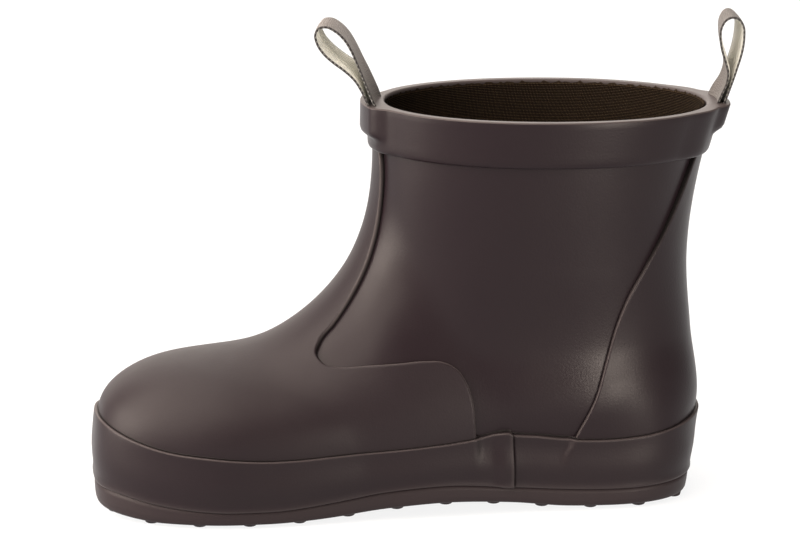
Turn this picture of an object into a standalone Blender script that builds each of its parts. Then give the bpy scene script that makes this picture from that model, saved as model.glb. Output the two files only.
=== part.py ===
"""A child's short rubber boot for the right foot, as separate solids in metres.

The boot stands on the floor with +X to the toe, +Y to the inner side of the foot and +Z up.
The origin is on the floor, under the middle of the heel.
"""

import math

import bmesh
import bpy
import numpy as np

# Driving dimensions

GAP = 0.0003  # clearance between pieces that touch on the real boot
WALL = 0.0020  # rubber wall of the upper
OVERLAY = 0.0012  # sheet rubber of the vamp and the heel counter
FOXING = 0.0017  # strip rubber of the foxing band
CUFF = 0.0012  # strip rubber of the collar band

COLLAR_LOW = 0.0950  # lower edge of the collar band
OVERLAY_TOP = 0.0980  # vamp and counter end here, under the collar band
POCKET_LOW = 0.1000  # floor of the two pockets that hold the tape
COLLAR_TOP = 0.1075  # rim of the boot

TAPE_WIDTH = 0.0145
TAPE_THICK = 0.0011
TAPE_CURVE = 0.0245  # radius of the collar's front and back, which the tape follows
TAPE_TWIST = 0.18  # sideways lean of the loops' tops, run over rise across the tape
TAPE_LEAVES = 0.016  # rise over which the tape leaves the collar's curve
TAPE_FLATTENS = 0.8  # share of that curve that is gone at the loops' tops
POCKET_DEPTH = 2 * TAPE_THICK + 2 * GAP

SOLE_LEDGE = 0.0026  # how far the outsole stands out from the upper's lower edge
STUD_RADIUS = 0.0022
STUD_HEIGHT = 0.0010
STUD_PITCH = 0.0135
STUD_SIDES = 8
STUD_INSET = 0.0036  # edge row of studs, inside the upper's lower edge
STUD_TAPER = 0.8  # a stud's tip, as a share of its root
STUD_ROWS_CLEAR = 0.8 * STUD_PITCH  # inner rows stay this far from the edge row

INSOLE_THICK = 0.0030
INSOLE_INSET = WALL + 2 * GAP

# Form of the last

TOE_START, TOE_TIP = 0.0800, 0.1351
HEEL_START, HEEL_BACK = 0.0020, -0.0232
TOE_FULLNESS, HEEL_FULLNESS = 3.6, 2.8
WIDEST_HEIGHT = 0.0190  # height at which the foot is widest
UNDERCUT = 0.060  # larger is straighter below the widest height

BLEND_INSTEP = 0.052  # reach of the hollow between vamp and leg
BLEND_ELSEWHERE = 0.002
BLEND_BACK, BLEND_FRONT = 0.020, 0.065
BLEND_HALF_WIDTH = 0.034


def table(columns, rows):
    """One array for each named column of a short table."""
    return dict(zip(columns, np.array(rows).T))


FOOT = table(
    ("x", "inner", "outer", "spine", "top", "fullness"),
    (
        (-0.026, 0.0240, 0.0240, 0.0000, 0.0420, 2.3),  # back of the heel
        (0.000, 0.0240, 0.0240, 0.0000, 0.0430, 2.3),  # heel
        (0.030, 0.0230, 0.0265, 0.0000, 0.0425, 2.3),  # waist
        (0.060, 0.0260, 0.0295, 0.0000, 0.0422, 2.3),  # instep
        (0.090, 0.0297, 0.0307, 0.0003, 0.0402, 2.4),  # ball
        (0.107, 0.0292, 0.0296, 0.0012, 0.0408, 2.5),  # little toe
        (0.122, 0.0258, 0.0258, 0.0024, 0.0408, 2.5),  # great toe
        (0.136, 0.0218, 0.0205, 0.0030, 0.0390, 2.5),  # toe tip
    ),
)

LEG = table(
    ("z", "front", "back", "half_width", "fullness"),
    (
        (0.000, 0.0600, -0.0210, 0.0235, 2.30),  # floor
        (0.014, 0.0605, -0.0235, 0.0240, 2.30),  # heel seat
        (0.029, 0.0610, -0.0254, 0.0245, 2.20),  # heel curve
        (0.045, 0.0626, -0.0244, 0.0255, 2.15),  # ankle
        (0.066, 0.0608, -0.0223, 0.0270, 2.10),  # hollow above the heel
        (0.090, 0.0605, -0.0254, 0.0290, 2.10),  # leg
        (0.110, 0.0602, -0.0310, 0.0305, 2.10),  # rim
    ),
)

# Side lines of the sole: its underside, the ledge that the foxing stands on, and the foxing's top edge.
SOLE = table(
    ("x", "bottom", "ledge", "foxing"),
    (
        (-0.028, 0.0010, 0.0074, 0.0245),
        (-0.016, 0.0010, 0.0064, 0.0212),
        (0.000, 0.0010, 0.0060, 0.0199),
        (0.013, 0.0014, 0.0065, 0.0206),
        (0.028, 0.0030, 0.0076, 0.0224),
        (0.045, 0.0040, 0.0091, 0.0206),
        (0.060, 0.0033, 0.0083, 0.0194),
        (0.075, 0.0018, 0.0064, 0.0188),
        (0.092, 0.0010, 0.0048, 0.0184),
        (0.108, 0.0010, 0.0050, 0.0196),
        (0.122, 0.0010, 0.0064, 0.0214),
        (0.132, 0.0018, 0.0082, 0.0245),
        (0.139, 0.0026, 0.0088, 0.0280),
    ),
)

# Girths: where each ring of the form crosses the front of the boot, and how far it sags between front and back.
GIRTHS = table(
    ("front_x", "front_z", "sag"),
    (
        (0.1310, 0.0330, 0.0080),
        (0.1245, 0.0373, 0.0045),
        (0.1150, 0.0395, 0.0015),
        (0.1050, 0.0407, 0.0000),
        (0.0960, 0.0422, 0.0000),
        (0.0880, 0.0450, 0.0000),
        (0.0805, 0.0493, 0.0000),
        (0.0735, 0.0553, 0.0000),
        (0.0683, 0.0620, 0.0000),
        (0.0648, 0.0695, 0.0000),
        (0.0625, 0.0775, 0.0000),
        (0.0612, 0.0860, 0.0000),
    ),
)
GIRTH_BACK_X = -0.0250
GIRTH_BACK_LOW, GIRTH_BACK_HIGH = 0.0296, 0.0896
FOXING_RINGS = 4

# Columns of the form, by angle from the toe, or by the place on the sole's edge where the column stands.
END_ANGLES = (0.0, 0.145, 0.29, 0.40)
EDGE_MIDDLE, EDGE_HALF = 0.0563, 0.0788
EDGE_STATIONS = (
    0.1257, 0.122, 0.113, 0.103, 0.092, 0.080, 0.066, 0.052, 0.0385,
    0.0345, 0.0290, 0.0268, 0.0205, 0.0150, 0.0060, -0.0020, -0.0090, -0.0130,
)
RAY_HALF_WIDTH = 0.026
RAY_START_SHARE = 0.35  # the rays of a short ring start at least this share of its half length from its middle
RAY_REACH = 0.15
INSIDE_X = 0.020  # a place inside every ring

# Layers that the bands lie over, as places on the sole's edge and angles on the collar.
LAP_STATION, LAP_STEP = 0.0268, 0.0004
LOBE_CLEAR, LOBE_COVERED = 0.0290, 0.0345
COUNTER_COVERED, COUNTER_CLEAR = 0.0150, 0.0205
COLLAR_VAMP_ANGLE, COLLAR_COUNTER_ANGLE = 0.42, 0.70
POCKET_ANGLE = 0.30

# Edge of the vamp in side view, from the collar down to the inner corner, and the lobe behind it.
VAMP_EDGE = (
    (0.0601, 0.1040), (0.0596, 0.0930), (0.0602, 0.0830), (0.0620, 0.0735),
    (0.0656, 0.0642), (0.0703, 0.0564), (0.0748, 0.0500),
)
VAMP_CORNER, VAMP_CORNER_RADIUS = (0.0748, 0.0452), 0.0044
LOBE_TOP, LOBE_BACK = (0.0505, 0.0424), 0.0370
LOBE_LOW = 0.0230

# Edge of the heel counter in side view, from the collar down to the sole.
COUNTER_EDGE = (
    (-0.0262, 0.1040), (-0.0222, 0.0940), (-0.0188, 0.0856), (-0.0132, 0.0740), (-0.0085, 0.0660),
    (-0.0036, 0.0575), (-0.0008, 0.0505), (0.0018, 0.0416), (0.0050, 0.0310), (0.0088, 0.0215), (0.0130, 0.0100),
)

# Middle line of each tape in side view: up the leg side of its pocket, round the loop and down again.
FRONT_TAPE = (
    (0.0611, 0.1005), (0.0611, 0.1080), (0.0633, 0.1146), (0.0668, 0.1228), (0.0705, 0.1274),
    (0.0740, 0.1291), (0.0764, 0.1273), (0.0747, 0.1232), (0.0690, 0.1183), (0.0648, 0.1134),
    (0.0626, 0.1080), (0.0625, 0.1005),
)
BACK_TAPE = (
    (-0.0292, 0.1005), (-0.0312, 0.1078), (-0.0334, 0.1140), (-0.0334, 0.1188), (-0.0323, 0.1238),
    (-0.0325, 0.1284), (-0.0354, 0.1311), (-0.0383, 0.1285), (-0.0386, 0.1242), (-0.0371, 0.1190),
    (-0.0354, 0.1140), (-0.0326, 0.1078), (-0.0306, 0.1005),
)
TAPE_STEPS = 30
TAPE_STRIPS = 4

# Thickness of the bands at each ring, from the lower edge up, and the outsole's edge: height share and spread.
FOXING_PROFILE = (0.0013, FOXING, FOXING, 0.0010)
COLLAR_PROFILE = (0.0008, CUFF, CUFF, CUFF)
OUTSOLE_PROFILE = ((0.00, -0.0030), (0.22, -0.0008), (0.60, 0.0002), (1.00, 0.0000))

CUTTER_HALF_WIDTH = 0.06

# Colours are linear red, green and blue.
RUBBER_COLOUR = (0.045, 0.033, 0.033, 1.0)
SOLE_COLOUR = (0.036, 0.027, 0.027, 1.0)
TAPE_COLOUR = (0.250, 0.210, 0.185, 1.0)
FOOTBED_COLOUR = (0.030, 0.024, 0.021, 1.0)


def along(sections, key, column, at):
    """Cubic curve through one column of a table: the slope at each row comes from the rows beside it."""
    stations, values = sections[key], sections[column]
    slopes = np.gradient(values, stations)
    at = np.clip(at, stations[0], stations[-1])
    row = np.clip(np.searchsorted(stations, at) - 1, 0, len(stations) - 2)
    step = stations[row + 1] - stations[row]
    t = (at - stations[row]) / step
    start = (2 * t**3 - 3 * t**2 + 1) * values[row] + (t**3 - 2 * t**2 + t) * step * slopes[row]
    end = (3 * t**2 - 2 * t**3) * values[row + 1] + (t**3 - t**2) * step * slopes[row + 1]
    return start + end


def smooth_step(t):
    """Rises from 0 to 1 with level ends."""
    t = np.clip(t, 0.0, 1.0)
    return t * t * (3.0 - 2.0 * t)


def foot_gap(x, y, z):
    """Distance outside the foot: an oval section at each x, closed by rounded ends at toe and heel."""
    across = y - along(FOOT, "x", "spine", x)
    half = np.where(across > 0, along(FOOT, "x", "inner", x), along(FOOT, "x", "outer", x))
    up = z - WIDEST_HEIGHT
    reach = np.where(up > 0, along(FOOT, "x", "top", x) - WIDEST_HEIGHT, UNDERCUT)
    power = along(FOOT, "x", "fullness", x)
    section = (np.abs(across / half) ** power + np.abs(up / reach) ** power) ** (1.0 / power)
    ahead = np.maximum(x - TOE_START, 0.0)
    behind = np.maximum(HEEL_START - x, 0.0)
    end = ahead / (TOE_TIP - TOE_START) + behind / (HEEL_START - HEEL_BACK)
    power = np.where(ahead > 0, TOE_FULLNESS, HEEL_FULLNESS)
    size = (end**power + section**power) ** (1.0 / power)
    radius = np.sqrt(ahead**2 + behind**2 + across**2 + up**2)
    return radius - radius / np.maximum(size, 1e-6)


def leg_gap(x, y, z):
    """Distance outside the leg: a level oval at each height."""
    front, back = along(LEG, "z", "front", z), along(LEG, "z", "back", z)
    power = along(LEG, "z", "fullness", z)
    lengthwise = x - (front + back) / 2
    long_part = np.abs(lengthwise / ((front - back) / 2)) ** power
    cross_part = np.abs(y / along(LEG, "z", "half_width", z)) ** power
    size = (long_part + cross_part) ** (1.0 / power)
    radius = np.hypot(lengthwise, y)
    return radius - radius / np.maximum(size, 1e-6)


def boot_gap(x, y, z):
    """Distance outside the boot: foot and leg joined, with a wide hollow at the instep."""
    foot, leg = foot_gap(x, y, z), leg_gap(x, y, z)
    front_share = smooth_step((x - BLEND_BACK) / (BLEND_FRONT - BLEND_BACK))
    middle_share = np.clip(1.0 - (y / BLEND_HALF_WIDTH) ** 2, 0.0, 1.0)
    reach = BLEND_ELSEWHERE + BLEND_INSTEP * front_share * middle_share
    share = np.clip(0.5 + 0.5 * (leg - foot) / reach, 0.0, 1.0)
    return leg + (foot - leg) * share - reach * share * (1.0 - share)


def crossing(inside_at, shape):
    """Bisects each ray, which starts inside the boot, for the place where it leaves it."""
    low, high = np.zeros(shape), np.full(shape, RAY_REACH)
    for _ in range(40):
        middle = (low + high) / 2
        inside = inside_at(middle)
        low, high = np.where(inside, middle, low), np.where(inside, high, middle)
    return (low + high) / 2


def outline(sheet, angles):
    """Points where a sheet, given as height over x, cuts the boot, at angles counted from the toe."""
    ends = []
    for way in (1, -1):
        reach = crossing(lambda t: boot_gap(INSIDE_X + way * t, 0 * t, sheet(INSIDE_X + way * t)) < 0, (1,))
        ends.append(INSIDE_X + way * reach[0])
    middle, half = (ends[0] + ends[1]) / 2, (ends[0] - ends[1]) / 2
    core = max(half - RAY_HALF_WIDTH, RAY_START_SHARE * half)
    base = middle + core * np.cos(angles)
    lengthwise, sideways = (half - core) * np.cos(angles), RAY_HALF_WIDTH * np.sin(angles)
    length = np.hypot(lengthwise, sideways)
    lengthwise, sideways = lengthwise / length, sideways / length
    reach = crossing(
        lambda t: boot_gap(base + lengthwise * t, sideways * t, sheet(base + lengthwise * t)) < 0,
        angles.shape,
    )
    x, y = base + lengthwise * reach, sideways * reach
    return np.stack([x, y, sheet(x)], axis=-1)


def outward(points):
    """Unit normals of the boot's form, from differences of its distance."""
    small = 1e-5
    slopes = []
    for axis in range(3):
        step = np.zeros(3)
        step[axis] = small
        ahead, behind = points + step, points - step
        slopes.append(
            boot_gap(ahead[..., 0], ahead[..., 1], ahead[..., 2])
            - boot_gap(behind[..., 0], behind[..., 1], behind[..., 2])
        )
    normal = np.stack(slopes, axis=-1)
    return normal / np.linalg.norm(normal, axis=-1, keepdims=True)


def level(points):
    """Unit normals turned level, for pieces that spread sideways only."""
    normal = outward(points)
    normal[..., 2] = 0.0
    return normal / np.linalg.norm(normal, axis=-1, keepdims=True)


def sole_line(column, lift=0.0):
    """A side line of the sole as a sheet, nowhere below the lowest row of its column."""
    return lambda x: np.maximum(along(SOLE, "x", column, x), SOLE[column].min()) + lift


def foxing_sheet(share):
    """A sheet at a share of the way from the sole's ledge to the foxing's top edge."""
    low, top = sole_line("ledge", GAP), sole_line("foxing")
    return lambda x: low(x) + share * (top(x) - low(x))


def girth_sheet(front_x, front_z, back_z, sag):
    """A sheet that rises from the heel to the front of the boot and sags between them."""

    def height(x):
        share = (x - GIRTH_BACK_X) / (front_x - GIRTH_BACK_X)
        return back_z + (front_z - back_z) * share - 4 * sag * np.clip(share * (1 - share), 0, None)

    return height


def level_sheet(height):
    """A level sheet."""
    return lambda x: 0 * x + height


def all_sheets():
    """The form's rings from the sole's ledge to the rim."""
    sheets = [foxing_sheet(share) for share in np.linspace(0, 1, FOXING_RINGS)]
    back_heights = np.linspace(GIRTH_BACK_LOW, GIRTH_BACK_HIGH, len(GIRTHS["sag"]))
    for front_x, front_z, sag, back_z in zip(GIRTHS["front_x"], GIRTHS["front_z"], GIRTHS["sag"], back_heights):
        sheets.append(girth_sheet(front_x, front_z, back_z, sag))
    sheets += [level_sheet(height) for height in (COLLAR_LOW, OVERLAY_TOP, POCKET_LOW, COLLAR_TOP)]
    return sheets


def station(angle):
    """Place along the boot of the sole's edge at an angle."""
    return EDGE_MIDDLE + EDGE_HALF * np.cos(angle)


def angle_at(place):
    """Angle of a place on the sole's edge."""
    return np.arccos((np.asarray(place) - EDGE_MIDDLE) / EDGE_HALF)


def all_angles():
    """Column angles once round, from the toe by the inner side."""
    half = np.concatenate([END_ANGLES, angle_at(EDGE_STATIONS), math.pi - np.array(END_ANGLES[:0:-1])])
    return np.concatenate([half, [math.pi], 2 * math.pi - half[:0:-1]])


SHEETS = all_sheets()
ANGLES = all_angles()
FORM = np.stack([outline(sheet, ANGLES) for sheet in SHEETS])
FORM_NORMALS = outward(FORM)
COLLAR_ROW = len(SHEETS) - 4


def material(name, colour, roughness):
    """A plain finish."""
    finish = bpy.data.materials.new(name)
    finish.use_nodes = True
    shader = finish.node_tree.nodes["Principled BSDF"]
    shader.inputs["Base Color"].default_value = colour
    shader.inputs["Roughness"].default_value = roughness
    shader.inputs["Metallic"].default_value = 0.0
    finish.diffuse_color = colour
    return finish


def add_object(name, vertices, faces, collection, finish=None):
    """A mesh object from its vertices and faces."""
    mesh = bpy.data.meshes.new(name)
    mesh.from_pydata([tuple(v) for v in np.reshape(vertices, (-1, 3)).tolist()], [], faces)
    mesh.shade_smooth()
    mesh.set_sharp_from_angle(angle=math.radians(35))
    made = bpy.data.objects.new(name, mesh)
    collection.objects.link(made)
    if finish is not None:
        mesh.materials.append(finish)
    return made


def grid_faces(rows, columns, closed):
    """Triangles over a grid of rows and columns, joined round the columns if closed, all cut the same way."""
    faces = []
    for row in range(rows - 1):
        for column in range(columns if closed else columns - 1):
            after = (column + 1) % columns
            a, b = row * columns + column, row * columns + after
            c, d = a + columns, b + columns
            faces += [(a, b, d), (a, d, c)]
    return faces


def ladder_faces(columns, first, up):
    """Triangles across a ring of columns, from each side to the other, facing up or down."""
    faces = []
    half = columns // 2
    for column in range(half):
        a, b = column, column + 1
        c, d = (columns - column - 1) % columns, (columns - column) % columns
        if d != a:
            faces.append((a, b, d))
        if b != c:
            faces.append((b, c, d))
    return [tuple(first + i for i in (face if up else face[::-1])) for face in faces]


def shell(name, rows, columns, offset, thickness, collection, finish):
    """A wall on part of the form: an open surface at an offset, given its thickness outwards or inwards."""
    around = len(columns) == len(ANGLES)
    points = FORM[rows][:, columns] + offset * FORM_NORMALS[rows][:, columns]
    made = add_object(name, points, grid_faces(*points.shape[:2], around), collection, finish)
    wall = made.modifiers.new("Wall", "SOLIDIFY")
    wall.thickness = abs(thickness)
    wall.offset = math.copysign(1.0, thickness)
    return made


def ring_solid(name, sections, collection, finish):
    """A closed band: each column's closed section, joined round the boot."""
    rows, columns = sections.shape[:2]
    faces = [tuple(i % (rows * columns) for i in face) for face in grid_faces(rows + 1, columns, True)]
    return add_object(name, sections, faces, collection, finish)


def plate(name, rings, collection, finish):
    """A closed plate from rings that run from its underside up to its top."""
    rows, columns = rings.shape[:2]
    faces = grid_faces(rows, columns, True)
    faces += ladder_faces(columns, 0, False)
    faces += ladder_faces(columns, (rows - 1) * columns, True)
    return add_object(name, rings, faces, collection, finish)


def prism(name, side_outline, collection):
    """A cutter: a side outline carried right across the boot."""
    bm = bmesh.new()
    corners = [bm.verts.new((x, -CUTTER_HALF_WIDTH, z)) for x, z in side_outline]
    face = bm.faces.new(corners)
    moved = bmesh.ops.extrude_face_region(bm, geom=[face])["geom"]
    across = [v for v in moved if isinstance(v, bmesh.types.BMVert)]
    bmesh.ops.translate(bm, vec=(0, 2 * CUTTER_HALF_WIDTH, 0), verts=across)
    bmesh.ops.recalc_face_normals(bm, faces=bm.faces)
    mesh = bpy.data.meshes.new(name)
    bm.to_mesh(mesh)
    bm.free()
    return guide(bpy.data.objects.new(name, mesh), collection)


def guide(made, collection):
    """Keeps a cutter out of renders."""
    collection.objects.link(made)
    made.hide_render = True
    made.display_type = "WIRE"
    return made


def combine(made, other, operation):
    """A Boolean with another object."""
    step = made.modifiers.new(other.name, "BOOLEAN")
    step.operation = operation
    step.solver = "EXACT"
    step.object = other


def smooth_path(corners, steps):
    """Evenly spaced points on the smooth curve through a few corners."""
    corners = np.array(corners)
    lengths = np.concatenate([[0], np.cumsum(np.linalg.norm(np.diff(corners, axis=0), axis=1))])
    path = {"s": lengths, "x": corners[:, 0], "z": corners[:, 1]}
    fine = np.linspace(0, lengths[-1], 20 * steps)
    points = np.stack([along(path, "s", axis, fine) for axis in "xz"], axis=-1)
    run = np.concatenate([[0], np.cumsum(np.linalg.norm(np.diff(points, axis=0), axis=1))])
    even = np.linspace(0, run[-1], steps)
    return np.stack([np.interp(even, run, points[:, axis]) for axis in (0, 1)], axis=-1)


def arc(centre, radii, start, end, steps):
    """Points on an ellipse, angles in degrees from the front, counted upwards."""
    turn = np.radians(np.linspace(start, end, steps))
    return np.stack([centre[0] + radii[0] * np.cos(turn), centre[1] + radii[1] * np.sin(turn)], axis=-1)


def vamp_outline():
    """Side outline of all that lies ahead of the vamp's edge."""
    radius = VAMP_CORNER_RADIUS
    lobe_radii = (LOBE_TOP[0] - LOBE_BACK, LOBE_TOP[1] - LOBE_LOW)
    edge = [
        smooth_path(VAMP_EDGE, 12),
        arc(VAMP_CORNER, (radius, radius), 35, -80, 8),
        arc((LOBE_TOP[0], LOBE_LOW), lobe_radii, 90, 180, 9),
        [(LOBE_BACK, 0.0), (0.2, 0.0), (0.2, VAMP_EDGE[0][1])],
    ]
    return np.concatenate(edge)


def counter_outline():
    """Side outline of all that lies behind the counter's edge."""
    return np.concatenate([smooth_path(COUNTER_EDGE, 14), [(-0.1, COUNTER_EDGE[-1][1]), (-0.1, COUNTER_EDGE[0][1])]])


def make_upper(parts, finish):
    """Hollow leg and foot, open at the rim and underneath."""
    everything = np.arange(len(ANGLES))
    return shell("upper", np.arange(len(SHEETS)), everything, 0.0, -WALL, parts, finish)


def make_vamp(parts, cutters, finish):
    """Front overlay: the form's front, cut along the vamp's edge."""
    reach = int(np.sum(ANGLES <= angle_at(LOBE_CLEAR) + 1e-6)) - 1
    columns = np.arange(-reach, reach + 1)
    made = shell("vamp_overlay", np.arange(1, COLLAR_ROW + 2), columns, GAP, OVERLAY, parts, finish)
    combine(made, prism("vamp_edge", vamp_outline(), cutters), "INTERSECT")


def make_counter(parts, cutters, finish):
    """Back overlay: the form's back, cut along the counter's edge."""
    start = int(np.sum(ANGLES < angle_at(COUNTER_CLEAR) - 1e-6))
    columns = np.arange(start, len(ANGLES) - start + 1)
    made = shell("heel_counter", np.arange(1, COLLAR_ROW + 2), columns, GAP, OVERLAY, parts, finish)
    combine(made, prism("counter_edge", counter_outline(), cutters), "INTERSECT")


def make_foxing(parts, finish):
    """Strip round the foot, over the layers beneath it, with its front end lapped over its back end."""
    angles = np.sort(np.append(ANGLES, angle_at(LAP_STATION - LAP_STEP)))
    place = station(angles)
    behind_lobe = (LOBE_COVERED - place) / (LOBE_COVERED - LOBE_CLEAR)
    before_counter = (place - COUNTER_COVERED) / (COUNTER_CLEAR - COUNTER_COVERED)
    covered = 1.0 - np.clip(np.minimum(behind_lobe, before_counter), 0.0, 1.0)
    lapped = (angles < math.pi) & (place > LAP_STATION - LAP_STEP / 2) & (place < LOBE_COVERED - LAP_STEP)
    inside = GAP + covered * (OVERLAY + GAP)
    outside = inside + np.where(lapped, (1 - covered) * FOXING, 0.0)
    points = np.stack([outline(sheet, angles) for sheet in SHEETS[:FOXING_RINGS]])
    normals = outward(points)
    normals[0] = level(points[0])
    inner_face = points + inside[None, :, None] * normals
    outer_face = points + (outside[None, :] + np.array(FOXING_PROFILE)[:, None])[..., None] * normals
    for face in (inner_face, outer_face):
        face[0, :, 2] = SHEETS[0](face[0, :, 0])
    sections = np.concatenate([inner_face, outer_face[::-1]]).transpose(1, 0, 2)
    return ring_solid("foxing_band", sections, parts, finish)


def make_collar(parts, finish):
    """Strip round the rim, raised at front and back into pockets for the tape."""
    from_end = np.minimum(np.minimum(ANGLES, 2 * math.pi - ANGLES), np.abs(ANGLES - math.pi))
    at_back = np.abs(ANGLES - math.pi) < math.pi / 2
    covered = from_end < np.where(at_back, COLLAR_COUNTER_ANGLE, COLLAR_VAMP_ANGLE)
    pocket = from_end < POCKET_ANGLE
    over_layers = GAP + covered * (OVERLAY + GAP)
    over_tape = np.where(pocket, GAP + POCKET_DEPTH + GAP, over_layers)
    inside = np.stack([over_layers, over_layers, over_tape, over_tape])
    points, normals = FORM[COLLAR_ROW:], level(FORM[COLLAR_ROW:])
    inner_face = points + inside[..., None] * normals
    outer_face = points + (inside + np.array(COLLAR_PROFILE)[:, None])[..., None] * normals
    sections = np.concatenate([inner_face, outer_face[::-1]]).transpose(1, 0, 2)
    return ring_solid("collar_band", sections, parts, finish)


def stud_centres():
    """Places of the studs: one row just inside the sole's edge, and rows across the middle of the sole."""
    edge = outline(sole_line("ledge"), ANGLES)
    edge = edge - STUD_INSET * level(edge)
    edge = np.concatenate([edge, edge[:1]])[:, :2]
    run = np.concatenate([[0], np.cumsum(np.linalg.norm(np.diff(edge, axis=0), axis=1))])
    places = np.linspace(0, run[-1], round(run[-1] / STUD_PITCH), endpoint=False)
    row = np.stack([np.interp(places, run, edge[:, axis]) for axis in (0, 1)], axis=-1)
    steps_long, steps_across = np.meshgrid(np.arange(-2, 11), np.arange(-2, 3))
    x = STUD_PITCH * steps_long.ravel()
    y = STUD_PITCH * (steps_across.ravel() + 0.5 * (steps_long.ravel() % 2))
    inside = boot_gap(x, y, sole_line("ledge")(x)) < -(STUD_INSET + STUD_ROWS_CLEAR)
    return np.concatenate([row, np.stack([x[inside], y[inside]], axis=-1)])


def make_studs(cutters):
    """All the studs of the tread in one guide, ready to join to the outsole."""
    bm = bmesh.new()
    root = STUD_HEIGHT
    for x, y in stud_centres():
        low = float(sole_line("bottom")(x)) - STUD_HEIGHT
        made = bmesh.ops.create_cone(
            bm, cap_ends=True, segments=STUD_SIDES, radius1=STUD_TAPER * STUD_RADIUS, radius2=STUD_RADIUS,
            depth=STUD_HEIGHT + root,
        )["verts"]
        bmesh.ops.translate(bm, verts=made, vec=(x, y, low + (STUD_HEIGHT + root) / 2))
    mesh = bpy.data.meshes.new("tread_studs")
    bm.to_mesh(mesh)
    bm.free()
    return guide(bpy.data.objects.new("tread_studs", mesh), cutters)


def make_outsole(parts, cutters, finish):
    """Moulded sole: a rounded edge, a low arch, a little toe spring and round studs."""
    edge = outline(sole_line("ledge"), ANGLES)
    normals = level(edge)
    rings = []
    for share, spread in OUTSOLE_PROFILE:
        ring = edge + (SOLE_LEDGE + spread) * normals
        low, top = sole_line("bottom")(ring[:, 0]), sole_line("ledge")(ring[:, 0])
        ring[:, 2] = low + share * (top - low)
        rings.append(ring)
    made = plate("outsole", np.stack(rings), parts, finish)
    combine(made, make_studs(cutters), "UNION")


def make_insole(parts, finish):
    """Loose footbed on the outsole, inside the upper."""
    rings = []
    for lift in (GAP, GAP + INSOLE_THICK):
        edge = outline(sole_line("ledge", lift), ANGLES)
        ring = edge - INSOLE_INSET * level(edge)
        ring[:, 2] = sole_line("ledge", lift)(ring[:, 0])
        rings.append(ring)
    return plate("insole", np.stack(rings), parts, finish)


def make_loop(name, route, front, parts, finish):
    """Tape folded into a loop: flat across, but curved with the collar where it stands in its pocket."""
    path = smooth_path(route, TAPE_STEPS)
    across = np.linspace(-TAPE_WIDTH / 2, TAPE_WIDTH / 2, TAPE_STRIPS + 1)
    x, z = np.repeat(path[:, :1], len(across), axis=1), np.repeat(path[:, 1:], len(across), axis=1)
    y = np.repeat(across[None, :], len(path), axis=0)
    free = smooth_step((z - COLLAR_TOP) / TAPE_LEAVES)
    way = 1.0 if front else -1.0
    x = x - way * (1.0 - TAPE_FLATTENS * free) * y**2 / (2 * TAPE_CURVE) + TAPE_TWIST * free * y
    points = np.stack([x, y, z], axis=-1)
    faces = grid_faces(*points.shape[:2], False)
    made = add_object(name, points, faces, parts, finish)
    tape = made.modifiers.new("Tape", "SOLIDIFY")
    tape.thickness = TAPE_THICK
    tape.offset = 0.0
    tape.use_even_offset = True


def main():
    """Builds every piece of the boot under one empty."""
    for old in list(bpy.data.objects):
        bpy.data.objects.remove(old)
    parts = bpy.data.collections.new("Rubber boot")
    cutters = bpy.data.collections.new("Cutters")
    for collection in (parts, cutters):
        bpy.context.scene.collection.children.link(collection)
    rubber = {
        name: material(name, RUBBER_COLOUR, 0.42)
        for name in ("upper_rubber", "vamp_rubber", "counter_rubber", "foxing_rubber", "collar_rubber")
    }
    make_upper(parts, rubber["upper_rubber"])
    make_vamp(parts, cutters, rubber["vamp_rubber"])
    make_counter(parts, cutters, rubber["counter_rubber"])
    make_foxing(parts, rubber["foxing_rubber"])
    make_collar(parts, rubber["collar_rubber"])
    make_outsole(parts, cutters, material("sole_rubber", SOLE_COLOUR, 0.50))
    make_insole(parts, material("footbed_felt", FOOTBED_COLOUR, 0.90))
    make_loop("pull_loop_front", FRONT_TAPE, True, parts, material("front_tape", TAPE_COLOUR, 0.85))
    make_loop("pull_loop_back", BACK_TAPE, False, parts, material("back_tape", TAPE_COLOUR, 0.85))
    boot = bpy.data.objects.new("rubber_boot", None)
    bpy.context.scene.collection.objects.link(boot)
    for piece in parts.objects:
        piece.parent = boot


main()
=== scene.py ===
# %% [markdown]
# # A child's short rubber boot
# The boot is a right boot, hand laid from sheet rubber over a last: a leg and foot wall, a vamp with a
# lobe on each side, a heel counter, a foxing strip lapped on the inner side, a studded sole, a collar
# band, and a tape loop in front and behind. The imported solids are loaded, and most pieces below take
# the place of one of them, which is then hidden.

# %% Load the imported solids
import math

import bpy
import numpy as np
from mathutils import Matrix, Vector


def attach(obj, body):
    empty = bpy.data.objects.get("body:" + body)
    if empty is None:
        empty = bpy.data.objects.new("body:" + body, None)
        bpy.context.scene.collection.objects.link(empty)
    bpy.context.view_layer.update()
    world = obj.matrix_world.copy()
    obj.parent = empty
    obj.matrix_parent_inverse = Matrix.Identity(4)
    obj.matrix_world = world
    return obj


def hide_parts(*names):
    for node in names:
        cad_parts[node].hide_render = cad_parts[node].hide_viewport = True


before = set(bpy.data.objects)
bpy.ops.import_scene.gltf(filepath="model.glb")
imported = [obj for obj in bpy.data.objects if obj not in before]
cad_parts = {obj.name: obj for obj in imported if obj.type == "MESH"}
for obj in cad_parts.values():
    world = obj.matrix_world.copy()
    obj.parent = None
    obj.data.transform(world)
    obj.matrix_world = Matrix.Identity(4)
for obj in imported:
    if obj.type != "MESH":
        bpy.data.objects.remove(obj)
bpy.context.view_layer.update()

BODY = "root"
print("solids:", sorted(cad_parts))

# %% [markdown]
# ## The form of the last
# Sheet rubber follows the last, so one function of space describes the whole boot: the distance outside
# a foot joined to a leg. A sculpted mesh would need every piece to be matched to it by eye. With a
# function, each piece is laid on the same skin and only its thickness is added.

# %% Tables of the form
MILLI = 1000.0  # millimetres in a metre
PLAIN_COLUMNS = ("fullness", "row", "share", "edge", "lip")  # not lengths


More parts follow.
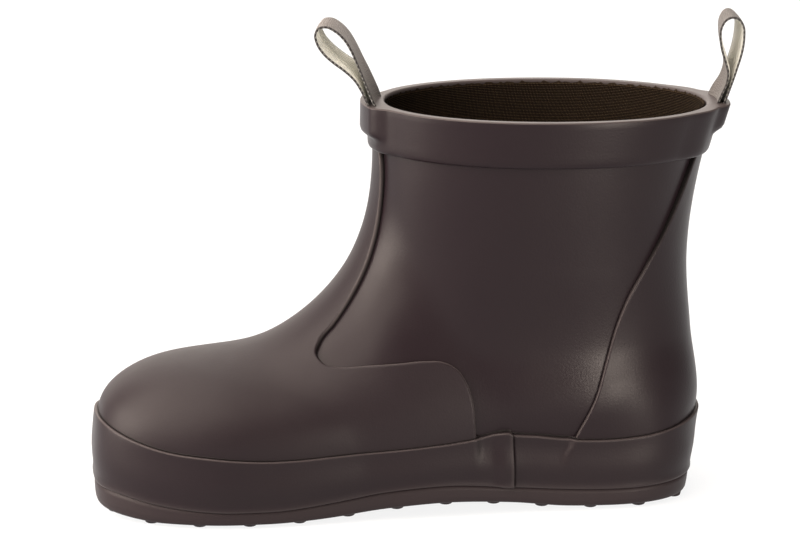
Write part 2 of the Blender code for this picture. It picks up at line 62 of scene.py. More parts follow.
def table(columns, rows):
    """One array for each named column of a short table, lengths turned from millimetres to metres."""
    return {
        column: values if column in PLAIN_COLUMNS else values / MILLI
        for column, values in zip(columns, np.array(rows).T)
    }


FOOT = table(
    ("x", "inner", "outer", "spine", "top", "fullness"),
    (
        (-26, 24.0, 24.0, 0.0, 42.0, 2.30),  # back of the heel
        (0, 24.0, 24.0, 0.0, 43.0, 2.30),  # heel
        (30, 23.0, 26.5, 0.0, 42.5, 2.30),  # waist
        (60, 26.0, 29.5, 0.0, 41.8, 2.30),  # instep
        (90, 29.7, 30.7, 0.3, 39.7, 2.25),  # ball
        (107, 29.2, 29.6, 1.2, 40.2, 2.20),  # little toe
        (122, 25.8, 25.8, 2.4, 40.1, 2.20),  # great toe
        (136, 21.8, 20.5, 3.0, 38.2, 2.30),  # toe tip
    ),
)
LEG = table(
    ("z", "front", "back", "half_width", "fullness"),
    (
        (0, 60.0, -21.0, 23.5, 2.3),  # floor
        (14, 60.5, -23.5, 24.3, 2.5),  # heel seat
        (27, 61.0, -25.5, 25.9, 2.6),  # heel curve
        (45, 62.4, -23.6, 24.3, 2.4),  # ankle
        (66, 60.8, -22.3, 26.4, 2.2),  # hollow above the heel
        (90, 60.5, -25.4, 29.7, 2.1),  # leg
        (110, 60.2, -31.0, 32.2, 2.1),  # rim
    ),
)
SOLE = table(
    ("x", "bottom", "ledge", "foxing"),
    (
        (-28, 1.0, 7.4, 24.5),
        (-16, 1.0, 6.4, 21.2),
        (0, 1.0, 6.0, 19.9),
        (13, 1.4, 6.5, 20.6),
        (28, 3.0, 7.6, 22.4),
        (45, 4.0, 9.1, 20.6),
        (60, 3.3, 8.3, 19.4),
        (75, 1.8, 6.4, 18.8),
        (92, 1.0, 4.8, 18.4),
        (108, 1.0, 5.0, 19.6),
        (122, 1.0, 6.4, 21.4),
        (132, 1.8, 8.2, 24.5),
        (139, 2.6, 8.8, 28.0),
    ),
)
print("table rows:", len(FOOT["x"]), len(LEG["z"]), len(SOLE["x"]))

# %% Distance outside the form
TOE_START, TOE_TIP = 0.0800, 0.1357
HEEL_START, HEEL_BACK = 0.0020, -0.0232
TOE_FULLNESS, HEEL_FULLNESS = 3.7, 2.9
WIDEST_HEIGHT, UNDERCUT = 0.0190, 0.060
BLEND_INSTEP, BLEND_ELSEWHERE = 0.052, 0.002
BLEND_BACK, BLEND_FRONT, BLEND_HALF_WIDTH = 0.020, 0.065, 0.034
TINY = 1e-6
ABOVE_TOE = np.array([0.11, 0.0, 0.05])


def along(sections, column, at):
    """Cubic curve through a table's column, over its first one: each slope is that of the rows beside."""
    stations, values = next(iter(sections.values())), sections[column]
    slopes = np.gradient(values, stations)
    at = np.clip(at, stations[0], stations[-1])
    row = np.clip(np.searchsorted(stations, at) - 1, 0, len(stations) - 2)
    step = stations[row + 1] - stations[row]
    t = (at - stations[row]) / step
    start = (2 * t**3 - 3 * t**2 + 1) * values[row] + (t**3 - 2 * t**2 + t) * step * slopes[row]
    end = (3 * t**2 - 2 * t**3) * values[row + 1] + (t**3 - t**2) * step * slopes[row + 1]
    return start + end


def smooth_step(t):
    """Rises from 0 to 1 with level ends: three t squared less two t cubed."""
    t = np.clip(t, 0.0, 1.0)
    return t * t * (3.0 - 2.0 * t)


def foot_gap(x, y, z):
    """Distance outside the foot: an oval section at each x, closed by rounded ends at toe and heel."""
    across = y - along(FOOT, "spine", x)
    half = np.where(across > 0, along(FOOT, "inner", x), along(FOOT, "outer", x))
    up = z - WIDEST_HEIGHT
    reach = np.where(up > 0, along(FOOT, "top", x) - WIDEST_HEIGHT, UNDERCUT)
    power = along(FOOT, "fullness", x)
    section = (np.abs(across / half) ** power + np.abs(up / reach) ** power) ** (1.0 / power)
    ahead = np.maximum(x - TOE_START, 0.0)
    behind = np.maximum(HEEL_START - x, 0.0)
    end = ahead / (TOE_TIP - TOE_START) + behind / (HEEL_START - HEEL_BACK)
    power = np.where(ahead > 0, TOE_FULLNESS, HEEL_FULLNESS)
    size = (end**power + section**power) ** (1.0 / power)
    radius = np.sqrt(ahead**2 + behind**2 + across**2 + up**2)
    return radius - radius / np.maximum(size, TINY)


def leg_gap(x, y, z):
    """Distance outside the leg: a level oval at each height."""
    front, back = along(LEG, "front", z), along(LEG, "back", z)
    power = along(LEG, "fullness", z)
    lengthwise = x - (front + back) / 2
    long_part = np.abs(lengthwise / ((front - back) / 2)) ** power
    cross_part = np.abs(y / along(LEG, "half_width", z)) ** power
    size = (long_part + cross_part) ** (1.0 / power)
    radius = np.hypot(lengthwise, y)
    return radius - radius / np.maximum(size, TINY)


def boot_gap(points):
    """Distance outside the boot: foot and leg joined, with a wide hollow at the instep."""
    x, y, z = points[..., 0], points[..., 1], points[..., 2]
    foot, leg = foot_gap(x, y, z), leg_gap(x, y, z)
    front_share = smooth_step((x - BLEND_BACK) / (BLEND_FRONT - BLEND_BACK))
    middle_share = np.clip(1.0 - (y / BLEND_HALF_WIDTH) ** 2, 0.0, 1.0)
    reach = BLEND_ELSEWHERE + BLEND_INSTEP * front_share * middle_share
    share = np.clip(0.5 + 0.5 * (leg - foot) / reach, 0.0, 1.0)
    return leg + (foot - leg) * share - reach * share * (1.0 - share)


print("a point above the toe is", round(MILLI * float(boot_gap(ABOVE_TOE)), 2), "mm outside the boot")

# %% [markdown]
# ## Finding points on the form
# A piece of sheet rubber is a patch of points on the form. Three ways find such points: a ray from inside
# the boot that is halved until it meets the skin, a sheet that cuts a ring round the boot, and a few steps
# along the slope for points that are already near the skin. All work on whole arrays at once.

# %% Rays, rings and normals
RAY_HALF_WIDTH, RAY_REACH, RAY_HALVINGS = 0.026, 0.15, 34
RAY_START_SHARE, INSIDE_X = 0.35, 0.020
SLOPE_STEP, SETTLE_STEPS = 1e-5, 4


def last_inside(inside, shape):
    """Longest reach of each ray that is still inside the boot, by halving its range again and again."""
    low, high = np.zeros(shape), np.full(shape, RAY_REACH)
    for _ in range(RAY_HALVINGS):
        middle = (low + high) / 2
        within = inside(middle)
        low, high = np.where(within, middle, low), np.where(within, high, middle)
    return (low + high) / 2


def unit(vectors):
    """Vectors made one long."""
    return vectors / np.linalg.norm(vectors, axis=-1, keepdims=True)


def cast(cores, targets):
    """Points where the rays from cores through targets leave the boot."""
    way = unit(targets - cores)
    reach = last_inside(lambda reach: boot_gap(cores + reach[..., None] * way) < 0, way.shape[:-1])
    return cores + reach[..., None] * way


def slope(points):
    """Gradient of the distance outside the boot, from small steps each way along each axis."""
    steps = SLOPE_STEP * np.eye(3)
    rises = [boot_gap(points + step) - boot_gap(points - step) for step in steps]
    return np.stack(rises, axis=-1) / (2 * SLOPE_STEP)


def outward(points):
    """Unit normals of the form: its gradient made one long."""
    return unit(slope(points))


def level(points):
    """Unit normals turned level, for pieces that spread sideways only."""
    return unit(outward(points) * np.array([1.0, 1.0, 0.0]))


def settle(points):
    """Moves points that are near the form onto it: down the gradient by the distance, a few times."""
    for _ in range(SETTLE_STEPS):
        gradient = slope(points)
        points = points - (boot_gap(points) / np.sum(gradient**2, axis=-1))[..., None] * gradient
    return points


def middle_points(x, z):
    """Points on the boot's middle plane, from their x and z."""
    return np.stack(np.broadcast_arrays(x, 0.0, z), axis=-1)


def round_turn(columns):
    """Angles evenly round a ring, counted from the toe."""
    return np.linspace(0, 2 * math.pi, columns + 1)[:-1]


def ring(sheet, angles):
    """Points where a sheet, given as height over x, cuts the boot, at angles counted from the toe.

    The rays of a ring start on a line along the middle of the boot and fan out at its two ends.
    """
    def inside(x, y):
        return boot_gap(np.stack([x, y, sheet(x)], axis=-1)) < 0

    ways = np.array([1.0, -1.0])
    ends = INSIDE_X + ways * last_inside(lambda reach: inside(INSIDE_X + ways * reach, 0 * reach), 2)
    middle, half = (ends[0] + ends[1]) / 2, (ends[0] - ends[1]) / 2
    core = max(half - RAY_HALF_WIDTH, RAY_START_SHARE * half)
    base = middle + core * np.cos(angles)
    way = np.stack([(half - core) * np.cos(angles), RAY_HALF_WIDTH * np.sin(angles)])
    way = way / np.hypot(*way)
    reach = last_inside(lambda reach: inside(base + reach * way[0], reach * way[1]), angles.shape)
    x = base + reach * way[0]
    return np.stack([x, reach * way[1], sheet(x)], axis=-1)


def sole_line(column, lift=0.0):
    """A side line of the sole as a sheet, nowhere below the lowest row of its column."""
    return lambda x: np.maximum(along(SOLE, column, x), SOLE[column].min()) + lift


def between(low, top, share):
    """A sheet at a share of the way from one sheet to another."""
    return lambda x: low(x) + share * (top(x) - low(x))


print("a ray ends within", RAY_REACH / 2**RAY_HALVINGS, "m of the skin")

# %% [markdown]
# ## From arrays to meshes
# Every piece is one or more grids of points. The squares of a grid are numbered with whole arrays, grids
# that share an edge are welded by rounding their points, and a skin becomes a closed sheet when its back
# and its rim are added.

# %% Grids, welds and closed sheets
WELD = 2e-7


def grid_faces(rows, columns, round_rows=False, round_columns=False):
    """Corner numbers of the squares of a grid, joined up round the rows or the columns where asked."""
    row, column = np.meshgrid(
        np.arange(rows if round_rows else rows - 1),
        np.arange(columns if round_columns else columns - 1),
        indexing="ij",
    )
    row_after, column_after = (row + 1) % rows, (column + 1) % columns
    corners = [
        row * columns + column, row * columns + column_after,
        row_after * columns + column_after, row_after * columns + column,
    ]
    return np.stack(corners, axis=-1).reshape(-1, 4)


def join(*grids):
    """Several sets of points and faces as one: each set's face numbers move past the points before it."""
    starts = np.cumsum([0] + [len(points.reshape(-1, 3)) for points, _ in grids])
    points = np.concatenate([points.reshape(-1, 3) for points, _ in grids])
    faces = np.concatenate([faces + start for (_, faces), start in zip(grids, starts)])
    return points, faces


def weld(points, faces, *extras):
    """Points that round to the same place become one, with any extra value per point kept."""
    _, first, number = np.unique(np.round(points / WELD), axis=0, return_index=True, return_inverse=True)
    return points[first], number.ravel()[faces], *[extra[first] for extra in extras]


def with_back(points, faces, back):
    """A closed sheet: a front skin, its back skin turned over, and a strip round the open edges."""
    count = len(points)
    start, end = faces.ravel(), np.roll(faces, -1, axis=1).ravel()
    open_edge = ~np.isin(end * count + start, start * count + end)
    start, end = start[open_edge], end[open_edge]
    rim_faces = np.stack([end, start, start + count, end + count], axis=-1)
    return np.concatenate([points, back]), np.concatenate([faces, faces[:, ::-1] + count, rim_faces])


def make_piece(name, points, faces, finish, node=None, values=None, uv=None):
    """A smooth mesh object at the origin that rides on the boot, with any values stored on its points."""
    points = np.asarray(points, dtype=np.float64).reshape(-1, 3)
    mesh = bpy.data.meshes.new(name)
    mesh.vertices.add(len(points))
    mesh.vertices.foreach_set("co", points.ravel())
    mesh.loops.add(faces.size)
    mesh.loops.foreach_set("vertex_index", faces.ravel().astype(np.int32))
    mesh.polygons.add(len(faces))
    mesh.polygons.foreach_set("loop_start", np.arange(0, faces.size, 4, dtype=np.int32))
    mesh.update(calc_edges=True)
    mesh.validate()
    for label, data in (values or {}).items():
        stored = mesh.attributes.new(label, "FLOAT", "POINT")
        stored.data.foreach_set("value", np.ravel(data).astype(np.float32))
    if uv is not None:
        layer = mesh.uv_layers.new(name="UVMap")
        layer.data.foreach_set("uv", uv.reshape(-1, 2)[faces.ravel()].astype(np.float32).ravel())
    mesh.shade_smooth()
    mesh.materials.append(finish)
    piece = bpy.data.objects.new(name, mesh)
    bpy.context.scene.collection.objects.link(piece)
    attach(piece, BODY)
    if node is not None:
        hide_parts(node)
    print(name, "has", 2 * len(faces), "triangles")
    return piece


print("a grid of 3 by 3 points has", len(grid_faces(3, 3)), "squares")

# %% [markdown]
# ## Finishes
# The rubber is a dark aubergine brown with a satin skin. Its colour drifts a little, its gloss varies more,
# and a fine grain breaks up the highlights. Cut edges, contact lines and steps are painted darker as
# painted shadow, and raised lips are painted paler as painted highlights. A painted picture would fix the
# drift, gloss and grain to one size, so they are sums of noise over the piece's own place, written as plain
# arithmetic on sockets; the painted shadow and highlights come from values stored on the points.

# %% Sockets as numbers
class Wire:
    """One output of a material's nodes. Sums of wires and numbers add Math nodes."""

    def __init__(self, tree, socket=None):
        self.tree = tree
        self.socket = socket

    def node(self, kind, settings=None, inputs=None, output=0):
        """Adds a node, sets it up, fills or links its inputs, and returns one of its outputs."""
        made = self.tree.nodes.new(kind)
        for key, value in (settings or {}).items():
            setattr(made, key, value)
        for key, value in (inputs or {}).items():
            if isinstance(value, Wire):
                self.tree.links.new(value.socket, made.inputs[key])
            else:
                made.inputs[key].default_value = value
        return Wire(self.tree, made.outputs[output])

    def sum(self, operation, first, second=0.0):
        """A Math node on two values."""
        return self.node("ShaderNodeMath", {"operation": operation}, {0: first, 1: second})

    def __add__(self, other):
        return self.sum("ADD", self, other)

    def __mul__(self, other):
        return self.sum("MULTIPLY", self, other)

    __radd__ = __add__
    __rmul__ = __mul__

    def mix(self, first, second):
        """Two colours mixed, with this wire as the share of the second."""
        inputs = {"Factor": self, 6: first, 7: second}
        return self.node("ShaderNodeMix", {"data_type": "RGBA"}, inputs, output=2)

    def wave(self, length):
        """A sine of this wire that comes back after a length."""
        return self.sum("SINE", self * (2 * math.pi / length))

    def noise(self, place, scale, detail, distortion=0.0):
        """Cloudy noise from 0 to 1 over a place."""
        inputs = {"Vector": place, "Scale": scale, "Detail": detail, "Distortion": distortion}
        return self.node("ShaderNodeTexNoise", inputs=inputs)

    def stored(self, name):
        """A value stored on the piece's points, 0 where the piece has none."""
        return self.node("ShaderNodeAttribute", {"attribute_name": name}, output=2)

    def bump(self, strength, distance, height):
        """A normal that follows a height."""
        inputs = {"Strength": strength, "Distance": distance, "Height": height}
        return self.node("ShaderNodeBump", inputs=inputs)

    def cloth(self):
        """The cloth's own place in millimetres, and its parts across and along."""
        place = self.node("ShaderNodeUVMap", {"uv_map": "UVMap"})
        across = self.node("ShaderNodeSeparateXYZ", inputs={0: place})
        return place, across, Wire(self.tree, across.socket.node.outputs[1])


def new_finish(name):
    """An empty material: its shader and a wire to start from."""
    finish = bpy.data.materials.new(name)
    finish.use_nodes = True
    return finish, finish.node_tree.nodes["Principled BSDF"], Wire(finish.node_tree)


def feed(shader, **inputs):
    """Sets or links the shader's sockets, named with low lines for spaces."""
    for key, value in inputs.items():
        socket = shader.inputs[key.replace("_", " ")]
        if isinstance(value, Wire):
            shader.id_data.links.new(value.socket, socket)
        else:
            socket.default_value = value


print("finishes are built from", Wire.__name__)

# %% Rubber
RUBBER = (0.0102, 0.0060, 0.0079, 1.0)
RUBBER_WARM = (0.0124, 0.0077, 0.0090, 1.0)
SOLE_RUBBER = (0.0174, 0.0116, 0.0130, 1.0)
SOLE_WARM = (0.0208, 0.0142, 0.0150, 1.0)
# painted shadow: the colour mixed in along cut edges, contact lines and steps, where shade falls
PAINTED_SHADOW = (0.0030, 0.0020, 0.0020, 1.0)
# painted highlight: the paler colour mixed in along raised lips that catch the light
PAINTED_HIGHLIGHT = (0.095, 0.078, 0.074, 1.0)
WARM_SHINE = (1.0, 0.95, 0.90, 1.0)


def rubber(name, gloss, shine=0.17, colour=RUBBER, warm=RUBBER_WARM):
    """Satin sheet rubber: slow colour drift, cloudy gloss and fine grain.

    The value named edge mixes in painted shadow on cut edges, contact lines and steps, and the one
    named lip mixes in painted highlights on raised lips.
    """
    finish, shader, wire = new_finish(name)
    place = wire.node("ShaderNodeTexCoord", output=3)
    drift = wire.noise(place, scale=38.0, detail=3.0)
    cloud = wire.noise(place, scale=210.0, detail=4.0)
    grain = wire.noise(place, scale=1700.0, detail=3.0)
    # edge and lip are the stored shares of painted shadow and painted highlight
    edge, lip = wire.stored("edge"), wire.stored("lip")
    feed(
        shader,
        Base_Color=lip.mix(edge.mix(drift.mix(colour, warm), PAINTED_SHADOW), PAINTED_HIGHLIGHT),
        Roughness=gloss - 0.04 + 0.08 * cloud + 0.25 * edge,
        Normal=wire.bump(strength=0.16, distance=0.0002, height=grain + 0.6 * cloud),
        Specular_IOR_Level=shine,
        Specular_Tint=WARM_SHINE,
    )
    return finish


leg_rubber = rubber("leg_rubber", gloss=0.34, shine=0.16)
vamp_rubber = rubber("vamp_rubber", gloss=0.46, shine=0.19)
counter_rubber = rubber("counter_rubber", gloss=0.36, shine=0.15)
foxing_rubber = rubber("foxing_rubber", gloss=0.42, shine=0.18)
collar_rubber = rubber("collar_rubber", gloss=0.37, shine=0.14)
sole_rubber = rubber("sole_rubber", gloss=0.50, colour=SOLE_RUBBER, warm=SOLE_WARM)
print("rubber finishes:", [m.name for m in bpy.data.materials if m.name.endswith("_rubber")])

# %% [markdown]
# ## The leg and foot wall
# The wall is one sheet from the sole to the rim. Its rings tilt with the foot at the bottom and lie level
# at the collar, so that the squares stay even over the instep. Each column of the grid is a closed section:
# up the outside, over a rounded rim, and down the inside.

# %% Wall of the upper
WALL = 0.0015  # rubber alone; the lining takes the rest of the solid's 2 mm
RIM_ROUND, RIM_STEPS = 0.0003, 5
LOW_SHARES, WALL_RINGS, WALL_COLUMNS, INSIDE_EVERY = (0.0, 0.5, 0.8), 96, 240, 3
GIRTHS = table(
    ("row", "front_x", "front_z", "back_z", "sag"),
    (
        (0, 134.0, 27.0, 24.2, 6.0),  # near the top of the foxing
        (1, 131.0, 33.0, 29.6, 8.0),
        (2, 124.5, 37.3, 35.1, 4.5),
        (3, 115.0, 39.5, 40.5, 1.5),
        (4, 105.0, 40.7, 46.0, 0.0),
        (5, 96.0, 42.2, 51.4, 0.0),
        (6, 88.0, 45.0, 56.9, 0.0),
        (7, 80.5, 49.3, 62.3, 0.0),
        (8, 73.5, 55.3, 67.8, 0.0),
        (9, 68.3, 62.0, 73.2, 0.0),
        (10, 64.8, 69.5, 78.7, 0.0),
        (11, 62.5, 77.5, 84.1, 0.0),
        (12, 61.2, 86.0, 89.6, 0.0),
        (13, 60.6, 94.8, 95.0, 0.0),
        (14, 60.3, 102.3, 101.7, 0.0),
        (15, 60.2, 107.6, 106.3, 0.0),  # just under the collar's fold
    ),
)
GIRTH_BACK_X = -0.0250


def girth(row):
    """A sheet that rises from the heel to the front and sags between them, at a row of the table."""
    front_x, front_z, back_z, sag = (
        float(along(GIRTHS, column, row)) for column in ("front_x", "front_z", "back_z", "sag")
    )

    def height(x):
        share = (x - GIRTH_BACK_X) / (front_x - GIRTH_BACK_X)
        return back_z + (front_z - back_z) * share - 4 * sag * np.clip(share * (1 - share), 0, None)

    return height


turn = round_turn(WALL_COLUMNS)
wall_sheets = [between(sole_line("ledge"), sole_line("foxing"), share) for share in LOW_SHARES]
wall_sheets += [girth(row) for row in np.linspace(0, GIRTHS["row"][-1], WALL_RINGS)]
skin = np.stack([ring(sheet, turn) for sheet in wall_sheets])
skin_normals = outward(skin)
skin_normals[-1] = level(skin[-1])
corner = np.linspace(0, math.pi / 2, RIM_STEPS)
rim_in = np.concatenate([RIM_ROUND * (1 - np.cos(corner)), WALL - RIM_ROUND * (1 - np.sin(corner))])
rim_up = RIM_ROUND * np.concatenate([np.sin(corner), np.cos(corner)])
rim_ring = skin[-1][None] - rim_in[1:-1, None, None] * skin_normals[-1][None]
rim_ring[..., 2] += rim_up[1:-1, None]
inside = (skin - WALL * skin_normals)[::-INSIDE_EVERY]
wall_sections = np.concatenate([skin, rim_ring, inside])
wall_faces = grid_faces(*wall_sections.shape[:2], round_rows=True, round_columns=True)
upper = make_piece("leg_and_foot_wall", wall_sections, wall_faces, leg_rubber, "upper")

# %% [markdown]
# ## Overlays
# The vamp and the counter are cut from thinner sheet and stuck on. What shows is their edge: a cut face
# and a rounded lip, with painted shadow on the cut face and painted highlights on the lip. In the notch of
# the vamp and near the collar the painted shadow runs deeper and wider instead. A strip runs along the edge
# as a profile carried along a path, and plain patches fill the rest, so the lip stays even all the way
# round the lobe.

# %% Strips and patches
OVERLAY = 0.0014
OVERLAY_BACK = 0.00005
EDGE_STEPS = (0.10, 0.25, 0.6)
LIP_STEPS = np.array([0.0, 0.05, 0.12, 0.22, 0.35, 0.5, 0.7, 1.0, 1.45, 2.1, 2.9, 4.0]) / MILLI
FINE_STEPS = 20


def run_along(points):
    """Distance along a line to each of its points."""
    return np.concatenate([[0], np.cumsum(np.linalg.norm(np.diff(points, axis=0), axis=1))])


def even(points, steps):
    """Points spread evenly along a line."""
    run = run_along(points)
    places = np.linspace(0, run[-1], steps)
    return np.stack([np.interp(places, run, points[:, axis]) for axis in range(points.shape[1])], axis=-1)


def smooth_path(corners, steps):
    """Evenly spaced points on the smooth curve through a few corners, in side view."""
    lengths = run_along(corners)
    path = {"s": lengths} | dict(enumerate(corners.T))
    fine = np.linspace(0, lengths[-1], FINE_STEPS * steps)
    points = np.stack([along(path, column, fine) for column in range(corners.shape[1])], axis=-1)
    return even(points, steps)


def nearest(points, place):
    """Number of the point that lies nearest to a place."""
    return int(np.argmin(np.linalg.norm(points - place, axis=1)))


def on_side(path, side):
    """Points of the boot's side that stand on a path drawn in side view: rays straight out."""
    core = middle_points(path[:, 0], path[:, 1])
    return cast(core, core + side * np.array([0.0, 1.0, 0.0]))


def edge_strip(edge, side, distances):
    """Rows of points beside an edge: the edge moved square to itself along the form, then settled on it."""
    across = side * np.cross(outward(edge), unit(np.gradient(edge, axis=0)))
    return settle(edge[:, None, :] + distances[None, :, None] * across[:, None, :])


def patch(bottom, top, left, right):
    """A four-sided patch: both ways of joining opposite sides added, less what the corners give twice."""
    u = np.linspace(0, 1, len(bottom))[None, :, None]
    v = np.linspace(0, 1, len(left))[:, None, None]
    ruled = (1 - v) * bottom[None] + v * top[None] + (1 - u) * left[:, None] + u * right[:, None]
    corners = (1 - u) * ((1 - v) * bottom[0] + v * top[0]) + u * ((1 - v) * bottom[-1] + v * top[-1])
    return ruled - corners


def lip_profile(thickness, radius):
    """Height of each row of a strip over the form: up the cut edge, then a quarter circle to the face."""
    radius = np.asarray(radius)[..., None]
    rise = np.array(EDGE_STEPS) * (thickness - radius)
    inward = np.clip(radius - LIP_STEPS, 0, None)
    lip = thickness - radius + np.sqrt(np.clip(radius**2 - inward**2, 0, None))
    return np.concatenate([rise, lip], axis=-1)


def overlay(name, strips, lip, patches, shades, finish, node):
    """An overlay: the strips of its two edges, the patches between, and shades for a strip's first rows."""
    grids, backs, values = [], [], {label: [] for label in shades}
    for strip, flip in zip(strips, (False, True)):
        base = np.concatenate([np.repeat(strip[:, :1], len(EDGE_STEPS), axis=1), strip], axis=1)
        normals = outward(base)
        faces = grid_faces(*base.shape[:2])
        grids.append((base + lip[..., None] * normals, faces[:, ::-1] if flip else faces))
        backs.append(base + OVERLAY_BACK * normals)
        for label, shade in shades.items():
            blank = np.zeros(base.shape[:2])
            blank[:, :shade.shape[-1]] = shade
            values[label].append(blank.ravel())
    for base in patches:
        normals = outward(base)
        grids.append((base + OVERLAY * normals, grid_faces(*base.shape[:2])))
        backs.append(base + OVERLAY_BACK * normals)
        for label in shades:
            values[label].append(np.zeros(base.shape[0] * base.shape[1]))
    points, faces = join(*grids)
    back = np.concatenate([b.reshape(-1, 3) for b in backs])
    points, faces, back, *shaded = weld(points, faces, back, *map(np.concatenate, values.values()))
    sheet_points, sheet_faces = with_back(points, faces, back)
    shaded = {label: np.concatenate([shade, shade]) for label, shade in zip(shades, shaded)}
    make_piece(name, sheet_points, sheet_faces, finish, node, values=shaded)


print("lip rows at", (MILLI * LIP_STEPS).round(2), "mm")

# %% Vamp
VAMP_EDGE = np.array((
    (37.4, 13.0), (37.4, 21.2), (37.6, 24.8), (38.0, 30.2), (39.6, 36.0), (42.0, 39.7), (45.6, 41.8),
    (50.8, 42.2), (57.1, 41.7), (66.1, 40.9), (73.2, 40.2), (76.9, 40.7), (78.6, 42.8), (77.5, 45.5),
    (73.4, 50.2), (68.9, 56.4), (64.6, 64.2), (61.4, 73.6), (59.8, 83.4), (59.5, 93.0), (59.9, 98.5),
)) / MILLI
LOBE_CORNER, NOTCH_CORNER = 5, 12
STRIP_ROWS, VAMP_ACROSS = 221, 97
VAMP_TOP = 0.0985
NOTCH_CORE, NOTCH_BULGE = np.array([0.070, 0.0, 0.022]), np.array([0.015, 0.0, 0.0])
INSTEP_CORE, COLLAR_CORE = np.array([0.040, 0.0, 0.030]), np.array([0.020, 0.0, VAMP_TOP])
TOE_CORE_BACK, TOE_CORE_HEIGHT = 0.010, 0.017
HEM_DROP, HEM_TURN, HEM_STEPS, HEM_CORNER_X = 0.0075, 1.9, 799, 0.100
LOBE_LIP, LEG_LIP, LIP_CHANGE, NOTCH_REACH = 0.0007, 0.0003, 40, 11

vamp_path = smooth_path(VAMP_EDGE, STRIP_ROWS)
lobe_row = nearest(vamp_path, VAMP_EDGE[LOBE_CORNER])
notch_row = nearest(vamp_path, VAMP_EDGE[NOTCH_CORNER])
vamp_strips = [edge_strip(on_side(vamp_path, side), side, LIP_STEPS) for side in (1, -1)]
inner_line, outer_line = (strip[:, -1] for strip in vamp_strips)


def bridge(start, end, core, bulge):
    """Points over the boot between two places: rays from a core through a line that may bulge."""
    share = np.linspace(0, 1, VAMP_ACROSS)[:, None]
    line = start + share * (end - start) + 4 * share * (1 - share) * bulge
    return cast(core, line)


notch_bridge = bridge(inner_line[notch_row], outer_line[notch_row], NOTCH_CORE, NOTCH_BULGE)
collar_bridge = bridge(inner_line[-1], outer_line[-1], COLLAR_CORE, 0.0)
lobe_top = slice(lobe_row, notch_row + 1)
vamp_top = np.concatenate([inner_line[lobe_top], notch_bridge[1:-1], outer_line[lobe_top][::-1]])

hem = ring(sole_line("foxing", -HEM_DROP), np.linspace(HEM_TURN, -HEM_TURN, HEM_STEPS))
hem = hem[nearest(hem, inner_line[0]):nearest(hem, outer_line[0]) + 1]
inner_turn, outer_turn = (
    int(np.argmin(np.abs(side[:len(hem) // 2, 0] - HEM_CORNER_X))) for side in (hem, hem[::-1])
)
lobe_steps = notch_row - lobe_row + 1
hem = np.concatenate([
    even(hem[:inner_turn + 1], lobe_steps)[:-1],
    even(hem[inner_turn:len(hem) - outer_turn], VAMP_ACROSS),
    even(hem[len(hem) - 1 - outer_turn:], lobe_steps)[1:],
])
share = np.linspace(0, 1, len(hem))[:, None]
hem = hem + (1 - share) * (inner_line[0] - hem[0]) + share * (outer_line[0] - hem[-1])

lower = patch(hem, vamp_top, inner_line[:lobe_row + 1], outer_line[:lobe_row + 1])
toe_core = middle_points((hem[:, 0] + vamp_top[:, 0]) / 2 - TOE_CORE_BACK, TOE_CORE_HEIGHT)
lower[1:-1] = cast(toe_core, lower)[1:-1]
lower[:, 0], lower[:, -1] = inner_line[:lobe_row + 1], outer_line[:lobe_row + 1]

higher = patch(notch_bridge, collar_bridge, inner_line[notch_row:], outer_line[notch_row:])
rise = np.linspace(0, 1, len(higher))[:, None, None]
higher_core = (1 - rise) * INSTEP_CORE + rise * COLLAR_CORE
higher[1:-1, 1:-1] = cast(higher_core, higher)[1:-1, 1:-1]

strip_row = np.arange(STRIP_ROWS)
lip_radius = np.interp(strip_row, [notch_row, notch_row + LIP_CHANGE], [LOBE_LIP, LEG_LIP])
# painted shadow on the cut face, spread over the lip in the notch, and painted highlights on the lip
# elsewhere
near_notch = np.exp(-((strip_row - notch_row) / NOTCH_REACH) ** 2)[:, None]
vamp_shades = {
    "edge": np.array([1, 1, 0.4, 0, 0, 0, 0]) + near_notch * np.array([0, 0, 0.6, 1, 0.9, 0.5, 0.2]),
    "lip": (1 - near_notch) * np.array([0, 0, 0.25, 0.48, 0.55, 0.5, 0.25, 0.05]),
}
overlay(
    "vamp", vamp_strips[::-1], lip_profile(OVERLAY, lip_radius), [lower[:, ::-1], higher[:, ::-1]],
    vamp_shades, vamp_rubber, "vamp_overlay",
)

# %% Heel counter
COUNTER_EDGE = np.array((
    (15.2, 10.0), (9.9, 21.5), (5.1, 31.0), (1.8, 41.6), (-0.8, 50.5), (-3.6, 57.5), (-8.5, 66.0),
    (-13.2, 74.0), (-18.8, 85.6), (-22.2, 94.0), (-24.0, 98.5),
)) / MILLI
COUNTER_ROWS, COUNTER_ACROSS, COUNTER_LIP, COUNTER_CORE_X = 150, 81, 0.0004, 0.012
# painted shadow: the dark line along the counter's edge widens over this height towards the collar
SHADOW_LINE_LOW, SHADOW_LINE_RISE = 0.056, 0.020

counter_path = smooth_path(COUNTER_EDGE, COUNTER_ROWS)
near_collar = smooth_step((counter_path[:, 1:] - SHADOW_LINE_LOW) / SHADOW_LINE_RISE)
# painted shadow on the cut face, wider near the collar, and painted highlights on the lip below it
counter_shades = {
    "edge": np.array([1, 0.4, 0.1, 0, 0, 0]) + near_collar * np.array([0, 0.6, 0.9, 0.9, 0.6, 0.2]),
    "lip": (1 - near_collar) * np.array([0, 0.1, 0.3, 0.45, 0.4, 0.2, 0.05]),
}
counter_strips = [edge_strip(on_side(counter_path, side), -side, LIP_STEPS) for side in (1, -1)]
inner_line, outer_line = (strip[:, -1] for strip in counter_strips)
cores = middle_points(COUNTER_CORE_X, inner_line[:, 2])
across = np.linspace(0, 1, COUNTER_ACROSS)[None, :, None]
straight = inner_line[:, None] + across * (outer_line - inner_line)[:, None]
heel = cast(cores[:, None], straight)
heel[:, 0], heel[:, -1] = inner_line, outer_line
overlay(
    "heel_counter_sheet", counter_strips, lip_profile(OVERLAY, np.full(COUNTER_ROWS, COUNTER_LIP)), [heel],
    counter_shades, counter_rubber, "heel_counter",
)
